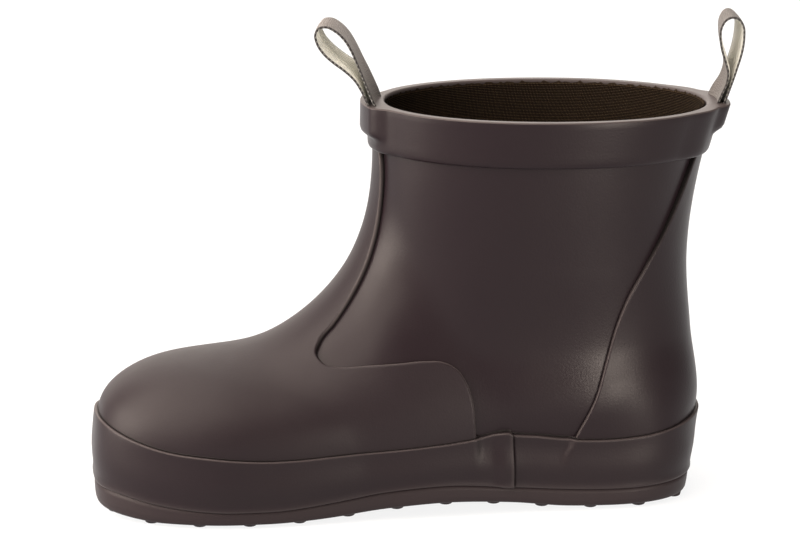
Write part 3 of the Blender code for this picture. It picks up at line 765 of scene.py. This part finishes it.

# %% [markdown]
# ## The foxing strip
# A strip of rubber is rolled round the foot to join upper and sole. It starts and ends on the inner side,
# where its front end laps over its back end, and it shows the edges of the sheets beneath it as soft steps.
# Its top edge and its foot get painted highlights, and thin lines of painted shadow lie above the top
# edge on the upper, the rows of the profile with a share over 1, and at the very foot. The steps get
# painted shade where the vamp's edge lies beneath and a painted highlight where the counter's does, and the
# lap's end gets painted shadow with a painted highlight beside it.

# %% Foxing
LAP_TOP_X, LAP_LOW_X, LAP_RISE, LAP_RUN, LAP_FADE = 0.0275, 0.0272, 0.0008, 0.0060, 0.004
# the last two numbers on the next line are painted shadow on the lap's end and a painted highlight beside
# it
LAP_COLUMNS, LAP_EDGE_TURN, LAP_SHADOW, LAP_HIGHLIGHT = 90, 0.004, 0.9, 0.16
LIFT, LIFT_RUN, LIFT_FADE, LIFT_ROUND = 0.0006, 0.009, 0.007, 0.0008
DIP, DIP_RUN, DIP_FADE = 0.0003, 0.008, 0.006
LAYER, FOXING_BACK, STRIP_COLUMNS = 0.0008, 0.0002, 541
# the last two numbers on the next line are painted shade down the vamp's step and a painted highlight up
# the counter's
STEP_LOW, STEP_RISE, STEP_TOP, STEP_SHADE, STEP_HIGHLIGHT = 0.35, 0.50, 0.97, 1.2, 0.8
VAMP_STEP_X, VAMP_STEP_RUN, COUNTER_STEP_SHIFT, COUNTER_STEP_RUN = 0.0360, 0.0018, 0.0014, 0.0016
HEEL_TUCK, HEEL_TUCK_POWER, HEEL_RUN = 0.0009, 1.2, 0.026
# edge is the share of painted shadow, at the foot and on the contact line above the top; lip is painted
# highlight
FOXING_PROFILE = table(
    ("share", "thick", "edge", "lip"),
    (
        (0.000, 1.25, 0.5, 0.00), (0.005, 1.65, 0.1, 0.10), (0.014, 1.88, 0.0, 0.20),
        (0.030, 1.97, 0.0, 0.20), (0.055, 1.94, 0.0, 0.05), (0.100, 1.82, 0.0, 0.00),
        (0.170, 1.84, 0.0, 0.00), (0.280, 1.98, 0.0, 0.00), (0.400, 2.06, 0.0, 0.00),
        (0.520, 2.00, 0.0, 0.00), (0.640, 1.82, 0.0, 0.00), (0.760, 1.66, 0.0, 0.00),
        (0.860, 1.58, 0.0, 0.00), (0.930, 1.57, 0.0, 0.00), (0.966, 1.57, 0.0, 0.00),
        (0.982, 1.55, 0.0, 0.15), (0.992, 1.47, 0.0, 0.36), (0.999, 1.30, 0.0, 0.36),
        (1.000, 1.06, 0.0, 0.20), (1.000, 0.50, 0.2, 0.00), (1.000, 0.10, 0.9, 0.00),
        (1.005, 0.10, 0.95, 0.0), (1.016, 0.09, 0.9, 0.00), (1.025, 0.04, 0.6, 0.00),
        (1.032, -0.15, 0.0, 0.0),
    ),
)
LAP_ANGLES = np.linspace(2.3, 1.6, 60)


def layers_beneath(points):
    """How much of the vamp, and of the counter, lies under the strip, by the place of their edges."""
    x, z = points[..., 0], points[..., 2]
    counter_x = np.interp(z, counter_path[:, 1], counter_path[:, 0]) + COUNTER_STEP_SHIFT
    return smooth_step((x - VAMP_STEP_X) / VAMP_STEP_RUN), smooth_step((counter_x - x) / COUNTER_STEP_RUN)


def at_heel(x):
    """Rises from 0 where the heel starts to 1 near its back."""
    return smooth_step((HEEL_START - x) / HEEL_RUN)


def heel_tuck(x, share):
    """How far the strip and the sole draw in towards the bottom of the heel."""
    return HEEL_TUCK * at_heel(x) * (1 - np.minimum(share, 1)) ** HEEL_TUCK_POWER


foxing_rows = FOXING_PROFILE["share"][:, None]
strip_skin = []
for share in FOXING_PROFILE["share"]:
    sheet = between(sole_line("ledge"), sole_line("foxing"), share)
    lap_x = LAP_LOW_X + share * (LAP_TOP_X - LAP_LOW_X)
    end_angle = float(np.interp(lap_x, ring(sheet, LAP_ANGLES)[:, 0], LAP_ANGLES))
    angles = np.linspace(end_angle - 2 * math.pi, end_angle - LAP_EDGE_TURN, STRIP_COLUMNS - 1)
    strip_skin.append(ring(sheet, np.append(angles, end_angle)))
strip_skin = np.stack(strip_skin)
strip_normals = outward(strip_skin)
strip_normals[0] = level(strip_skin[0])
from_lap = np.abs(strip_skin[..., 0] - strip_skin[:, -1:, 0])
front_end = (np.arange(STRIP_COLUMNS) > STRIP_COLUMNS - LAP_COLUMNS)[None, :]
back_end = (np.arange(STRIP_COLUMNS) < LAP_COLUMNS)[None, :]
fades = smooth_step((foxing_rows - STEP_LOW) / STEP_RISE)
over_vamp, over_counter = layers_beneath(strip_skin)
covered = 1 - (1 - np.maximum(over_vamp, over_counter)) * fades
lap = LAP_RISE * front_end * smooth_step((LAP_RUN - from_lap) / LAP_FADE) * (foxing_rows <= 1)
beneath = np.where(foxing_rows > 1, OVERLAY, LAYER) * covered
tuck = heel_tuck(strip_skin[..., 0], foxing_rows)
thick = FOXING_PROFILE["thick"][:, None] + beneath + lap - tuck
outer = strip_skin + thick[..., None] * strip_normals
corner_drop = np.clip(1 - from_lap / LIFT_ROUND, 0, 1) ** 2
rise = LIFT * (smooth_step((LIFT_RUN - from_lap) / LIFT_FADE) - corner_drop)
fall = -DIP * smooth_step((DIP_RUN - from_lap) / DIP_FADE)
outer[..., 2] += (front_end * rise + back_end * fall) * foxing_rows**2
inner = (strip_skin - (FOXING_BACK + tuck)[..., None] * strip_normals)[::-1]
foxing_sections = np.concatenate([outer, inner])
strip_count = len(foxing_sections)
rung = np.arange(len(outer) - 1)
rungs = np.stack([rung, rung + 1, strip_count - 2 - rung, strip_count - 1 - rung], axis=-1) * STRIP_COLUMNS
foxing_faces = np.concatenate([
    grid_faces(strip_count, STRIP_COLUMNS, round_rows=True), rungs, rungs[:, ::-1] + STRIP_COLUMNS - 1,
])
# painted shade on the vamp's step, painted highlight on the counter's, painted shadow and highlight at the
# lap's end
vamp_step = over_vamp * (1 - over_vamp) * fades
counter_step = over_counter * (1 - over_counter) * fades * (foxing_rows < STEP_TOP)
strip_shadow = FOXING_PROFILE["edge"][:, None] + STEP_SHADE * vamp_step
strip_highlight = FOXING_PROFILE["lip"][:, None] + STEP_HIGHLIGHT * counter_step
strip_shadow[:, -1] = LAP_SHADOW
strip_highlight[:, -2] = LAP_HIGHLIGHT
foxing_values = {"edge": strip_shadow, "lip": strip_highlight}
make_piece(
    "foxing_strip", foxing_sections, foxing_faces, foxing_rubber, "foxing_band",
    values={label: np.concatenate([rows, rows[::-1]]) for label, rows in foxing_values.items()},
)

# %% [markdown]
# ## The sole
# The moulded sole shows a low edge under the foxing, a shallow arch, a little toe spring and round studs.
# Its underside is a set of rings that shrink from the edge to a line along the middle, where the two sides
# are welded.

# %% Outsole and studs
SOLE_LEDGE, SOLE_LEAN, SOLE_COLUMNS = 0.0023, 0.0007, 360
SPINE_MIDDLE, SPINE_HALF, UNDER_RINGS, OVER_RINGS = 0.0563, 0.0500, 14, 5
EDGE_PROFILE = table(
    ("share", "spread"),
    (
        (0.00, -1.6), (0.012, -1.0), (0.035, -0.6), (0.08, -0.3), (0.16, -0.1), (0.40, 0.0),
        (0.70, 0.0), (1.00, 0.0),
    ),
)
STUD_RADIUS, STUD_HEIGHT, STUD_ROOT, STUD_PITCH, STUD_INSET = 0.0022, 0.0010, 0.0006, 0.0135, 0.0016
STUD_FLATNESS, STUD_ROUNDING, STUD_GRID = 5, 0.45, 13
STUDS_LONG, STUDS_ACROSS = np.arange(-2, 11), np.arange(-2, 3)
STUD_ROWS_CLEAR = 0.8 * STUD_PITCH


sole_turn = round_turn(SOLE_COLUMNS)
spine = middle_points(SPINE_MIDDLE + SPINE_HALF * np.cos(sole_turn), 0.0)


def shrink(edge, shares, sheet):
    """Rings on a sheet between an edge and the line along the middle, at shares of the way out."""
    rings = spine[None] + shares[:, None, None] * (edge - spine)[None]
    rings[..., 2] = sheet(rings[..., 0])
    return rings


def closed_pad(side, under_rings, over_rings, low, high):
    """Rows of a side closed by rings that shrink to the middle, on one sheet below and one above."""
    under = shrink(side[0], np.linspace(0, 1, under_rings)[:-1], low)
    over = shrink(side[-1], np.linspace(1, 0, over_rings)[1:], high)
    pad = np.concatenate([under, side, over])
    return weld(pad.reshape(-1, 3), grid_faces(*pad.shape[:2], round_columns=True))


ledge = ring(sole_line("ledge"), sole_turn)
ledge_level = level(ledge)
rows = []
for share, spread in zip(*EDGE_PROFILE.values()):
    lean = SOLE_LEAN * (1 - share) * at_heel(ledge[:, 0])
    row = ledge + (SOLE_LEDGE + spread - heel_tuck(ledge[:, 0], 0.0) - lean)[:, None] * ledge_level
    bottom, top = sole_line("bottom")(row[:, 0]), sole_line("ledge")(row[:, 0])
    row[:, 2] = bottom + share * (top - bottom)
    rows.append(row)
sole_points, sole_faces = closed_pad(
    np.stack(rows), UNDER_RINGS, OVER_RINGS, sole_line("bottom"), sole_line("ledge"),
)

stud_edge = ledge - STUD_INSET * ledge_level
stud_line = np.concatenate([stud_edge, stud_edge[:1]])[:, :2]
stud_count = round(run_along(stud_line)[-1] / STUD_PITCH)
stud_places = even(stud_line, stud_count + 1)[:-1]
long_step, cross_step = (step.ravel() for step in np.meshgrid(STUDS_LONG, STUDS_ACROSS))
middle_places = STUD_PITCH * np.stack([long_step, cross_step + 0.5 * (long_step % 2)], axis=-1)
depth = boot_gap(np.concatenate([middle_places, sole_line("ledge")(middle_places[:, :1])], axis=1))
stud_places = np.concatenate([stud_places, middle_places[depth < -(STUD_INSET + STUD_ROWS_CLEAR)]])

side_steps = np.linspace(-1, 1, STUD_GRID)
flat_u, flat_v = np.meshgrid(side_steps, side_steps, indexing="ij")
disc_x = flat_u * np.sqrt(1 - flat_v**2 / 2)
disc_y = flat_v * np.sqrt(1 - flat_u**2 / 2)
disc_r = np.clip(np.hypot(disc_x, disc_y), 0, 1)
stud_drop = STUD_ROOT - (STUD_HEIGHT + STUD_ROOT) * (1 - disc_r**STUD_FLATNESS) ** STUD_ROUNDING
stud_shape = np.stack([STUD_RADIUS * disc_x, STUD_RADIUS * disc_y, stud_drop], axis=-1).reshape(-1, 3)
stud_base = np.column_stack([stud_places, sole_line("bottom")(stud_places[:, 0])])
stud_points = stud_base[:, None] + stud_shape[None]
stud_faces = grid_faces(STUD_GRID, STUD_GRID)[:, ::-1]
stud_starts = np.arange(len(stud_places)) * STUD_GRID**2
all_studs = (stud_faces[None] + stud_starts[:, None, None]).reshape(-1, 4)
sole_points, sole_faces = join((sole_points, sole_faces), (stud_points, all_studs))
make_piece("studded_outsole", sole_points, sole_faces, sole_rubber, "outsole")
print(len(stud_places), "studs")

# %% [markdown]
# ## The collar
# A last strip covers the tops of the vamp and the counter. Where the tape goes in, the strip stands out as
# a pocket in front and behind. Its upper edge is rolled over the rim, and the top of the roll gets a
# painted highlight.

# %% Collar band
RIM, RIM_SLOPE, RIM_MIDDLE, COLLAR_LOW, COLLAR_LOW_SLOPE = 0.1077, 0.015, 0.0155, 0.0950, 0.022
CUFF, CUFF_ROUND, CUFF_BACK, CUFF_COLUMNS = 0.0012, 0.0004, 0.0001, 480
FOLD_ROUND, FOLD_DEPTH, FOLD_IN, FOLD_END, RIM_TUCK = 0.0009, 0.0013, 0.0003, 0.0002, 0.0004
# painted highlight: the share of pale colour on the top of the rolled rim
RIM_HIGHLIGHT = 0.45
POCKET_LOW, POCKET_TURN, POCKET_DEPTH, POCKET_RAMP, POCKET_EDGE = 0.1000, 0.36, 0.0036, 0.18, 0.0024
COVERED_BACK, COVERED_FRONT, COVERED_RAMP = 0.80, 0.56, 0.30
QUARTER_STEPS, TOP_ROWS, FOLD_ROWS = 6, 6, 4
COLLAR_PROFILE = table(
    ("share", "thick"),
    (
        (0.000, 0.25), (0.010, 0.62), (0.028, 0.92), (0.064, 1.13), (0.128, 1.20), (0.24, 1.22),
        (0.32, 1.2), (0.38, 1.2), (0.44, 1.2), (0.50, 1.2), (0.58, 1.2), (0.70, 1.2), (0.84, 1.2),
        (0.968, 1.2),
    ),
)


def rim_height(x):
    """The sheet of the rim, which rises a little to the front."""
    return RIM + RIM_SLOPE * (x - RIM_MIDDLE)


def collar_low(x):
    """The sheet of the collar's low edge, which rises a little to the front too."""
    return COLLAR_LOW + COLLAR_LOW_SLOPE * (x - RIM_MIDDLE)


cuff_turn = round_turn(CUFF_COLUMNS)
cuff_sheets = [between(collar_low, rim_height, share) for share in COLLAR_PROFILE["share"]]
cuff_skin = np.stack([ring(sheet, cuff_turn) for sheet in cuff_sheets])
cuff_normals = level(cuff_skin)
from_back = np.abs(cuff_turn - math.pi)
from_end = np.minimum(np.minimum(cuff_turn, 2 * math.pi - cuff_turn), from_back)
covered_turn = np.where(from_back < math.pi / 2, COVERED_BACK, COVERED_FRONT)
covered = smooth_step((covered_turn - from_end) / COVERED_RAMP)
pocket = smooth_step((POCKET_TURN + POCKET_RAMP / 2 - from_end) / POCKET_RAMP)
pocket_rise = smooth_step((cuff_skin[..., 2] - POCKET_LOW + POCKET_EDGE / 2) / POCKET_EDGE)
under_cuff = CUFF_BACK + OVERLAY * covered[None, :]
under_cuff = under_cuff + (POCKET_DEPTH - under_cuff) * pocket[None, :] * pocket_rise
outer = cuff_skin + (under_cuff + COLLAR_PROFILE["thick"][:, None])[..., None] * cuff_normals

quarter = np.linspace(0, math.pi / 2, QUARTER_STEPS)[1:]
top_offset = under_cuff[-1] + CUFF
fold_offset = -(WALL + FOLD_IN)
top_width = top_offset - fold_offset - CUFF_ROUND - FOLD_ROUND
over_offsets = np.concatenate([
    top_offset - CUFF_ROUND * (1 - np.cos(quarter[:, None])),
    fold_offset + FOLD_ROUND + np.linspace(0.8, 0, TOP_ROWS)[:, None] * top_width,
    fold_offset + FOLD_ROUND * (1 - np.sin(quarter[:, None])) + 0 * top_offset,
    np.full((FOLD_ROWS - 1, CUFF_COLUMNS), fold_offset),
    np.full((2, CUFF_COLUMNS), fold_offset + FOLD_END),
])
over_drops = np.concatenate([
    CUFF_ROUND * (1 - np.sin(quarter)), np.zeros(TOP_ROWS), FOLD_ROUND * (1 - np.cos(quarter)),
    np.linspace(FOLD_ROUND, FOLD_DEPTH, FOLD_ROWS)[1:], [FOLD_DEPTH, RIM_TUCK],
])
over = cuff_skin[-1][None] + over_offsets[..., None] * cuff_normals[-1][None]
over[..., 2] = rim_height(over[..., 0]) - over_drops[:, None]
inner = (cuff_skin + under_cuff[..., None] * cuff_normals)[::-1]
inner[0, :, 2] = rim_height(inner[0, :, 0]) - RIM_TUCK
cuff_sections = np.concatenate([outer, over, inner])
cuff_faces = grid_faces(*cuff_sections.shape[:2], round_rows=True, round_columns=True)
# painted highlight along the top of the rolled rim
cuff_highlight = np.zeros(len(cuff_sections))
cuff_highlight[len(outer):len(outer) + len(over) - FOLD_ROWS - 1] = RIM_HIGHLIGHT
cuff = make_piece(
    "collar_strip", cuff_sections, cuff_faces, collar_rubber, "collar_band",
    values={"lip": np.repeat(cuff_highlight, CUFF_COLUMNS)},
)

# %% [markdown]
# ## Lining and footbed
# The leg is lined with a coarse dark knit that ends in a frayed edge under the collar's fold. Its loops are
# too small to model, so they are a bump that follows the cloth's own two directions, stored as a UV map in
# millimetres.

# %% Lining
LINING_THICK, LINING_COLUMNS = 0.0006, 361
LINING_ROWS = np.append(np.linspace(0.6, 14.85, 60), 14.97)
FRAY = 0.0002
KNIT_LOOP = 0.85
KNIT_DARK, KNIT_LIGHT = (0.0010, 0.0006, 0.0003, 1.0), (0.170, 0.112, 0.066, 1.0)
FRAY_COLOUR = (0.030, 0.020, 0.012, 1.0)


def knit(name):
    """Knitted lining: loops as two crossed waves, shifted in every other row, with loose fuzz."""
    finish, shader, wire = new_finish(name)
    cloth, across, up = wire.cloth()
    odd_row = wire.sum("MODULO", wire.sum("FLOOR", up * (1 / KNIT_LOOP)), 2.0)
    wave = (across + 0.5 * KNIT_LOOP * odd_row).wave(KNIT_LOOP) * up.wave(KNIT_LOOP)
    loops = wave * wave
    fuzz = wire.noise(cloth, scale=3.0, detail=4.0)
    light = 1.5 * loops * loops * fuzz
    feed(
        shader,
        Base_Color=wire.stored("fray").mix(light.mix(KNIT_DARK, KNIT_LIGHT), FRAY_COLOUR),
        Roughness=0.95,
        Normal=wire.bump(strength=0.9, distance=0.0004, height=loops + 0.8 * fuzz),
        Specular_IOR_Level=0.05,
    )
    return finish


lining_turn = np.linspace(0, 2 * math.pi, LINING_COLUMNS)
lining_skin = np.stack([ring(girth(row), lining_turn) for row in LINING_ROWS])
frayed = np.sin(61 * lining_turn + 2) + np.sin(97 * lining_turn) + np.sin(151 * lining_turn + 1)
lining_skin[-1, :, 2] += FRAY * frayed
lining_face = lining_skin - (WALL + LINING_THICK) * outward(lining_skin)
back_seam = lining_face[:, LINING_COLUMNS // 2]
lining_uv = MILLI * np.stack(np.meshgrid(run_along(lining_face[-1]), run_along(back_seam)), axis=-1)
fray_rows = np.zeros(lining_face.shape[:2])
fray_rows[-1] = 1.0
lining = make_piece(
    "knit_lining", lining_face, grid_faces(*lining_face.shape[:2])[:, ::-1], knit("lining_knit"),
    values={"fray": fray_rows}, uv=lining_uv,
)

# %% Footbed
BED_INSET, BED_TOP, BED_SEAT = 0.0026, 0.0033, 0.0003
BED_EDGE = (  # height of the ring that a row is inset from, its further inset, and its own height
    (0.0003, 0.0004, 0.0003), (0.0003, 0.0, 0.0008), (0.0033, 0.0, 0.0025), (0.0033, 0.0003, 0.0030),
    (0.0033, 0.0010, 0.0033),
)
BED_UNDER_RINGS, BED_OVER_RINGS = 5, 12
FELT_DARK, FELT_LIGHT = (0.010, 0.008, 0.007, 1.0), (0.060, 0.048, 0.040, 1.0)


def felt(name):
    """Felted footbed: matted fibres as stretched noise at two sizes."""
    finish, shader, wire = new_finish(name)
    place = wire.node("ShaderNodeTexCoord", output=3)
    mat = wire.noise(place, scale=900.0, detail=5.0, distortion=1.2)
    worn = wire.noise(place, scale=60.0, detail=2.0)
    feed(
        shader,
        Base_Color=(0.6 * mat + 0.4 * worn).mix(FELT_DARK, FELT_LIGHT),
        Roughness=0.95,
        Normal=wire.bump(strength=0.6, distance=0.0004, height=mat),
    )
    return finish


bed_rows = []
for line, inset, lift in BED_EDGE:
    base = ring(sole_line("ledge", line), sole_turn)
    row = base - (BED_INSET + inset) * level(base)
    row[:, 2] = sole_line("ledge", lift)(row[:, 0])
    bed_rows.append(row)
bed_points, bed_faces = closed_pad(
    np.stack(bed_rows), BED_UNDER_RINGS, BED_OVER_RINGS,
    sole_line("ledge", BED_SEAT), sole_line("ledge", BED_TOP),
)
make_piece("felt_footbed", bed_points, bed_faces, felt("footbed_felt"), "insole")

# %% [markdown]
# ## Tape loops
# Each loop is a length of ribbed tape folded in two, its ends held in the collar's pocket. The face outside
# is grey brown, the face inside is pale, and dark threads run along both edges.

# %% Tape
TAPE_WIDTH, TAPE_THICK = 0.0145, 0.0006
TAPE_CURVE, TAPE_LEAVES, TAPE_FLATTENS = 0.0245, 0.016, 0.8
FRONT_TAPE = np.array((  # x and z of the near edge, and how much farther back the far edge lies
    (59.8, 100.5, 1.0), (60.4, 104.0, 1.6), (61.2, 107.0, 2.6), (62.4, 109.2, 3.2), (64.6, 114.4, 3.2),
    (66.7, 119.5, 2.8), (68.3, 123.2, 2.6), (70.1, 126.2, 2.6), (72.3, 128.4, 2.7), (75.1, 129.8, 2.8),
    (77.0, 129.5, 2.9), (77.9, 127.9, 3.0), (77.5, 125.6, 3.4), (75.9, 122.9, 4.0), (73.2, 120.3, 4.4),
    (70.2, 118.0, 4.6), (67.5, 115.4, 4.5), (65.6, 112.4, 4.2), (64.3, 109.6, 3.6), (63.2, 107.0, 2.8),
    (62.2, 104.0, 1.8), (61.6, 100.5, 1.0),
)) / MILLI
BACK_TAPE = np.array((
    (-29.0, 100.5, 0.2), (-30.0, 105.5, 0.4), (-31.4, 109.0, 0.6), (-32.9, 112.5, 1.3),
    (-33.2, 115.1, 1.8), (-32.4, 118.2, 2.4), (-31.3, 121.9, 2.6), (-30.9, 124.9, 2.6),
    (-31.2, 127.5, 2.4), (-32.4, 129.4, 2.1), (-34.0, 130.1, 1.6), (-35.9, 129.6, 1.1),
    (-37.2, 127.5, 0.7), (-37.4, 124.7, 0.5), (-36.9, 120.8, 0.4), (-35.8, 117.0, 0.4),
    (-34.7, 113.6, 0.4), (-33.2, 109.4, 0.4), (-31.8, 105.5, 0.3), (-30.8, 100.5, 0.2),
)) / MILLI
TAPE_STEPS, FLAT_STRIPS, FLAT_MARGIN = 161, 17, 0.0006
MARGIN_STRIPS = np.array([0.0, 0.00008, 0.0002, 0.0004])
TAPE_ROUND, THREAD_WIDTH, THREAD_FADE = 0.0004, 0.0006, 0.0003
RIB, YARN, STITCH = 0.55, 0.5, 1.3  # millimetres
INSIDE_DARK, INSIDE_LIGHT = (0.560, 0.540, 0.480, 1.0), (0.840, 0.830, 0.760, 1.0)
THREAD = (0.006, 0.003, 0.0025, 1.0)


def woven(name, dark, light):
    """Ribbed tape: ribs and yarns as waves, pale where the value named inside is 1, dark where edge is."""
    finish, shader, wire = new_finish(name)
    cloth, across, run = wire.cloth()
    rib = 0.5 * run.wave(RIB) + 0.5
    yarn = 0.5 * across.wave(YARN) + 0.5
    shade = 0.35 * rib + 0.25 * yarn + 0.4 * wire.noise(cloth, scale=4.0, detail=3.0)
    face = wire.stored("inside").mix(shade.mix(dark, light), shade.mix(INSIDE_DARK, INSIDE_LIGHT))
    stitch = 0.12 * run.wave(STITCH) + 0.92
    feed(
        shader,
        Base_Color=(wire.stored("edge") * stitch).mix(face, THREAD),
        Roughness=0.88,
        Normal=wire.bump(strength=0.5, distance=0.0002, height=rib + 0.5 * yarn),
        Sheen_Weight=0.15,
    )
    return finish


def make_loop(name, route, front, finish, node):
    """Tape folded into a loop: its middle line in side view, spread across, with a flat rounded section."""
    near = smooth_path(route, TAPE_STEPS)
    path, shift = near[:, :2], near[:, 2:]
    tangent = unit(np.gradient(path, axis=0))
    normal = np.stack([-tangent[:, 1], tangent[:, 0]], axis=-1)
    half = TAPE_WIDTH / 2
    margin = half - MARGIN_STRIPS
    flat = np.linspace(-half + FLAT_MARGIN, half - FLAT_MARGIN, FLAT_STRIPS)
    flat = np.concatenate([-margin, flat, margin[::-1]])
    thin = TAPE_THICK / 2 * np.clip(0.5 + (half - np.abs(flat)) / TAPE_ROUND, 0.5, 1.0)
    across = np.concatenate([flat, flat[::-1]])
    out = np.concatenate([thin, -thin[::-1]])
    x = path[:, :1] + out[None] * normal[:, :1]
    z = path[:, 1:] + out[None] * normal[:, 1:]
    y = np.broadcast_to(across, x.shape)
    free = smooth_step((path[:, 1:] - RIM) / TAPE_LEAVES)
    bow = (1.0 if front else -1.0) * (1.0 - TAPE_FLATTENS * free) / (2 * TAPE_CURVE)
    x = x - shift * (0.5 - y / TAPE_WIDTH) + bow * (half**2 - y**2)
    points = np.stack([x, y, z], axis=-1)
    run = run_along(path)
    uv = MILLI * np.stack(np.broadcast_arrays(y, run[:, None]), axis=-1)
    edge = np.broadcast_to(smooth_step((np.abs(across) - half + THREAD_WIDTH) / THREAD_FADE), x.shape)
    inside = np.broadcast_to(out < 0 if front else out > 0, x.shape)
    around = len(across)
    rung = np.arange(len(flat) - 1)
    start_cap = np.stack([rung, around - 1 - rung, around - 2 - rung, rung + 1], axis=-1)
    end_cap = start_cap[:, ::-1] + (TAPE_STEPS - 1) * around
    faces = np.concatenate([grid_faces(*points.shape[:2], round_columns=True), start_cap, end_cap])
    piece = make_piece(
        name, points, faces if front else faces[:, ::-1], finish, node,
        values={"edge": edge, "inside": inside}, uv=uv,
    )
    print(name, "is", round(MILLI * float(run[-1])), "mm of tape")


front_weave = woven("front_tape", (0.062, 0.051, 0.045, 1.0), (0.145, 0.122, 0.108, 1.0))
# the back tape is the front tape's cloth with its colours darkened as painted shade
shaded_back_weave = woven("back_tape", (0.042, 0.035, 0.031, 1.0), (0.098, 0.083, 0.074, 1.0))
make_loop("front_pull_loop", FRONT_TAPE, True, front_weave, "pull_loop_front")
make_loop("back_pull_loop", BACK_TAPE, False, shaded_back_weave, "pull_loop_back")

# %% [markdown]
# ## Studio
# The boot stands on a pale floor that glows, so that it runs out of the picture as white. Two
# lights in front of the toe draw the long highlight down the front of the leg, and a small one behind the
# heel lights the counter. Wide lights above and behind light the toe and the rim, and three weaker ones on
# the camera's side lift the shadows. The camera looks at the inner side from a little above, 1 m away.

# %% Floor, lights and camera
FLOOR_HALF = 4.0
FLOOR_GREY, FLOOR_WHITE, FLOOR_GLOW = (0.12, 0.12, 0.12, 1.0), (1.0, 1.0, 1.0, 1.0), 0.86
SKY_COLOUR, SKY_STRENGTH = (1.0, 0.92, 0.84, 1.0), 0.30
LIGHT_COLOUR = (1.0, 0.92, 0.85)
LIGHTS = (  # name, place, size and power
    ("toe_light", (0.46, 0.05, 0.27), (0.28, 0.46), 2.4),
    ("low_toe_light", (0.46, 0.05, 0.15), (0.28, 0.22), 1.3),
    ("heel_light", (-0.15, 0.29, 0.055), (0.10, 0.08), 0.74),
    ("back_light", (0.25, -1.00, 0.48), (1.5, 0.9), 7.0),
    ("top_light", (0.40, 0.10, 1.10), (1.0, 0.9), 14.2),
    ("top_back_light", (0.20, -0.60, 1.00), (1.0, 0.8), 6.2),
    ("front_light", (0.30, 0.70, 0.95), (0.6, 0.4), 3.2),
    ("side_light", (0.66, 0.56, 0.50), (0.6, 0.5), 5.2),
    ("low_light", (0.80, 0.35, 0.16), (0.5, 0.3), 0.9),
)
LOOK_AT = Vector((0.0545, 0.0, 0.0626))
CAMERA_DISTANCE, FOCAL_PIXELS, PICTURE_WIDTH, SENSOR, CLIP_START = 1.0, 3700.0, 800.0, 36.0, 0.05
CAMERA_TURN, CAMERA_RISE = math.radians(7.0), math.radians(13.5)


def stand(name, data, place, target):
    """An object at a place that faces a target, as lights and cameras do."""
    held = bpy.data.objects.new(name, data)
    held.location = place
    held.rotation_euler = (target - Vector(place)).to_track_quat("-Z", "Y").to_euler()
    bpy.context.scene.collection.objects.link(held)
    return held


floor_finish, floor_shader, _ = new_finish("pale_floor")
feed(
    floor_shader, Base_Color=FLOOR_GREY, Roughness=0.9, Emission_Color=FLOOR_WHITE,
    Emission_Strength=FLOOR_GLOW,
)
floor_corners = [(FLOOR_HALF * x, FLOOR_HALF * y, 0.0) for x, y in ((-1, -1), (1, -1), (1, 1), (-1, 1))]
floor_mesh = bpy.data.meshes.new("floor")
floor_mesh.from_pydata(floor_corners, [], [(0, 1, 2, 3)])
floor_mesh.materials.append(floor_finish)
floor = bpy.data.objects.new("floor", floor_mesh)
bpy.context.scene.collection.objects.link(floor)

world = bpy.data.worlds.new("studio")
world.use_nodes = True
world.node_tree.nodes["Background"].inputs["Color"].default_value = SKY_COLOUR
world.node_tree.nodes["Background"].inputs["Strength"].default_value = SKY_STRENGTH
bpy.context.scene.world = world
bpy.context.scene.view_settings.view_transform = "Standard"

for name, place, size, power in LIGHTS:
    lamp = bpy.data.lights.new(name, "AREA")
    lamp.shape = "RECTANGLE"
    lamp.size, lamp.size_y = size
    lamp.energy = power
    lamp.color = LIGHT_COLOUR
    stand(name, lamp, place, LOOK_AT)

level_share = math.cos(CAMERA_RISE)
towards = Vector((
    math.sin(CAMERA_TURN) * level_share, math.cos(CAMERA_TURN) * level_share, math.sin(CAMERA_RISE),
))
lens = bpy.data.cameras.new("camera")
lens.sensor_fit = "HORIZONTAL"
lens.sensor_width = SENSOR
lens.lens = SENSOR * FOCAL_PIXELS / PICTURE_WIDTH
lens.clip_start = CLIP_START
bpy.context.scene.camera = stand("camera", lens, LOOK_AT + CAMERA_DISTANCE * towards, LOOK_AT)
print(len(LIGHTS), "lights, and a lens of", round(lens.lens, 1), "mm")
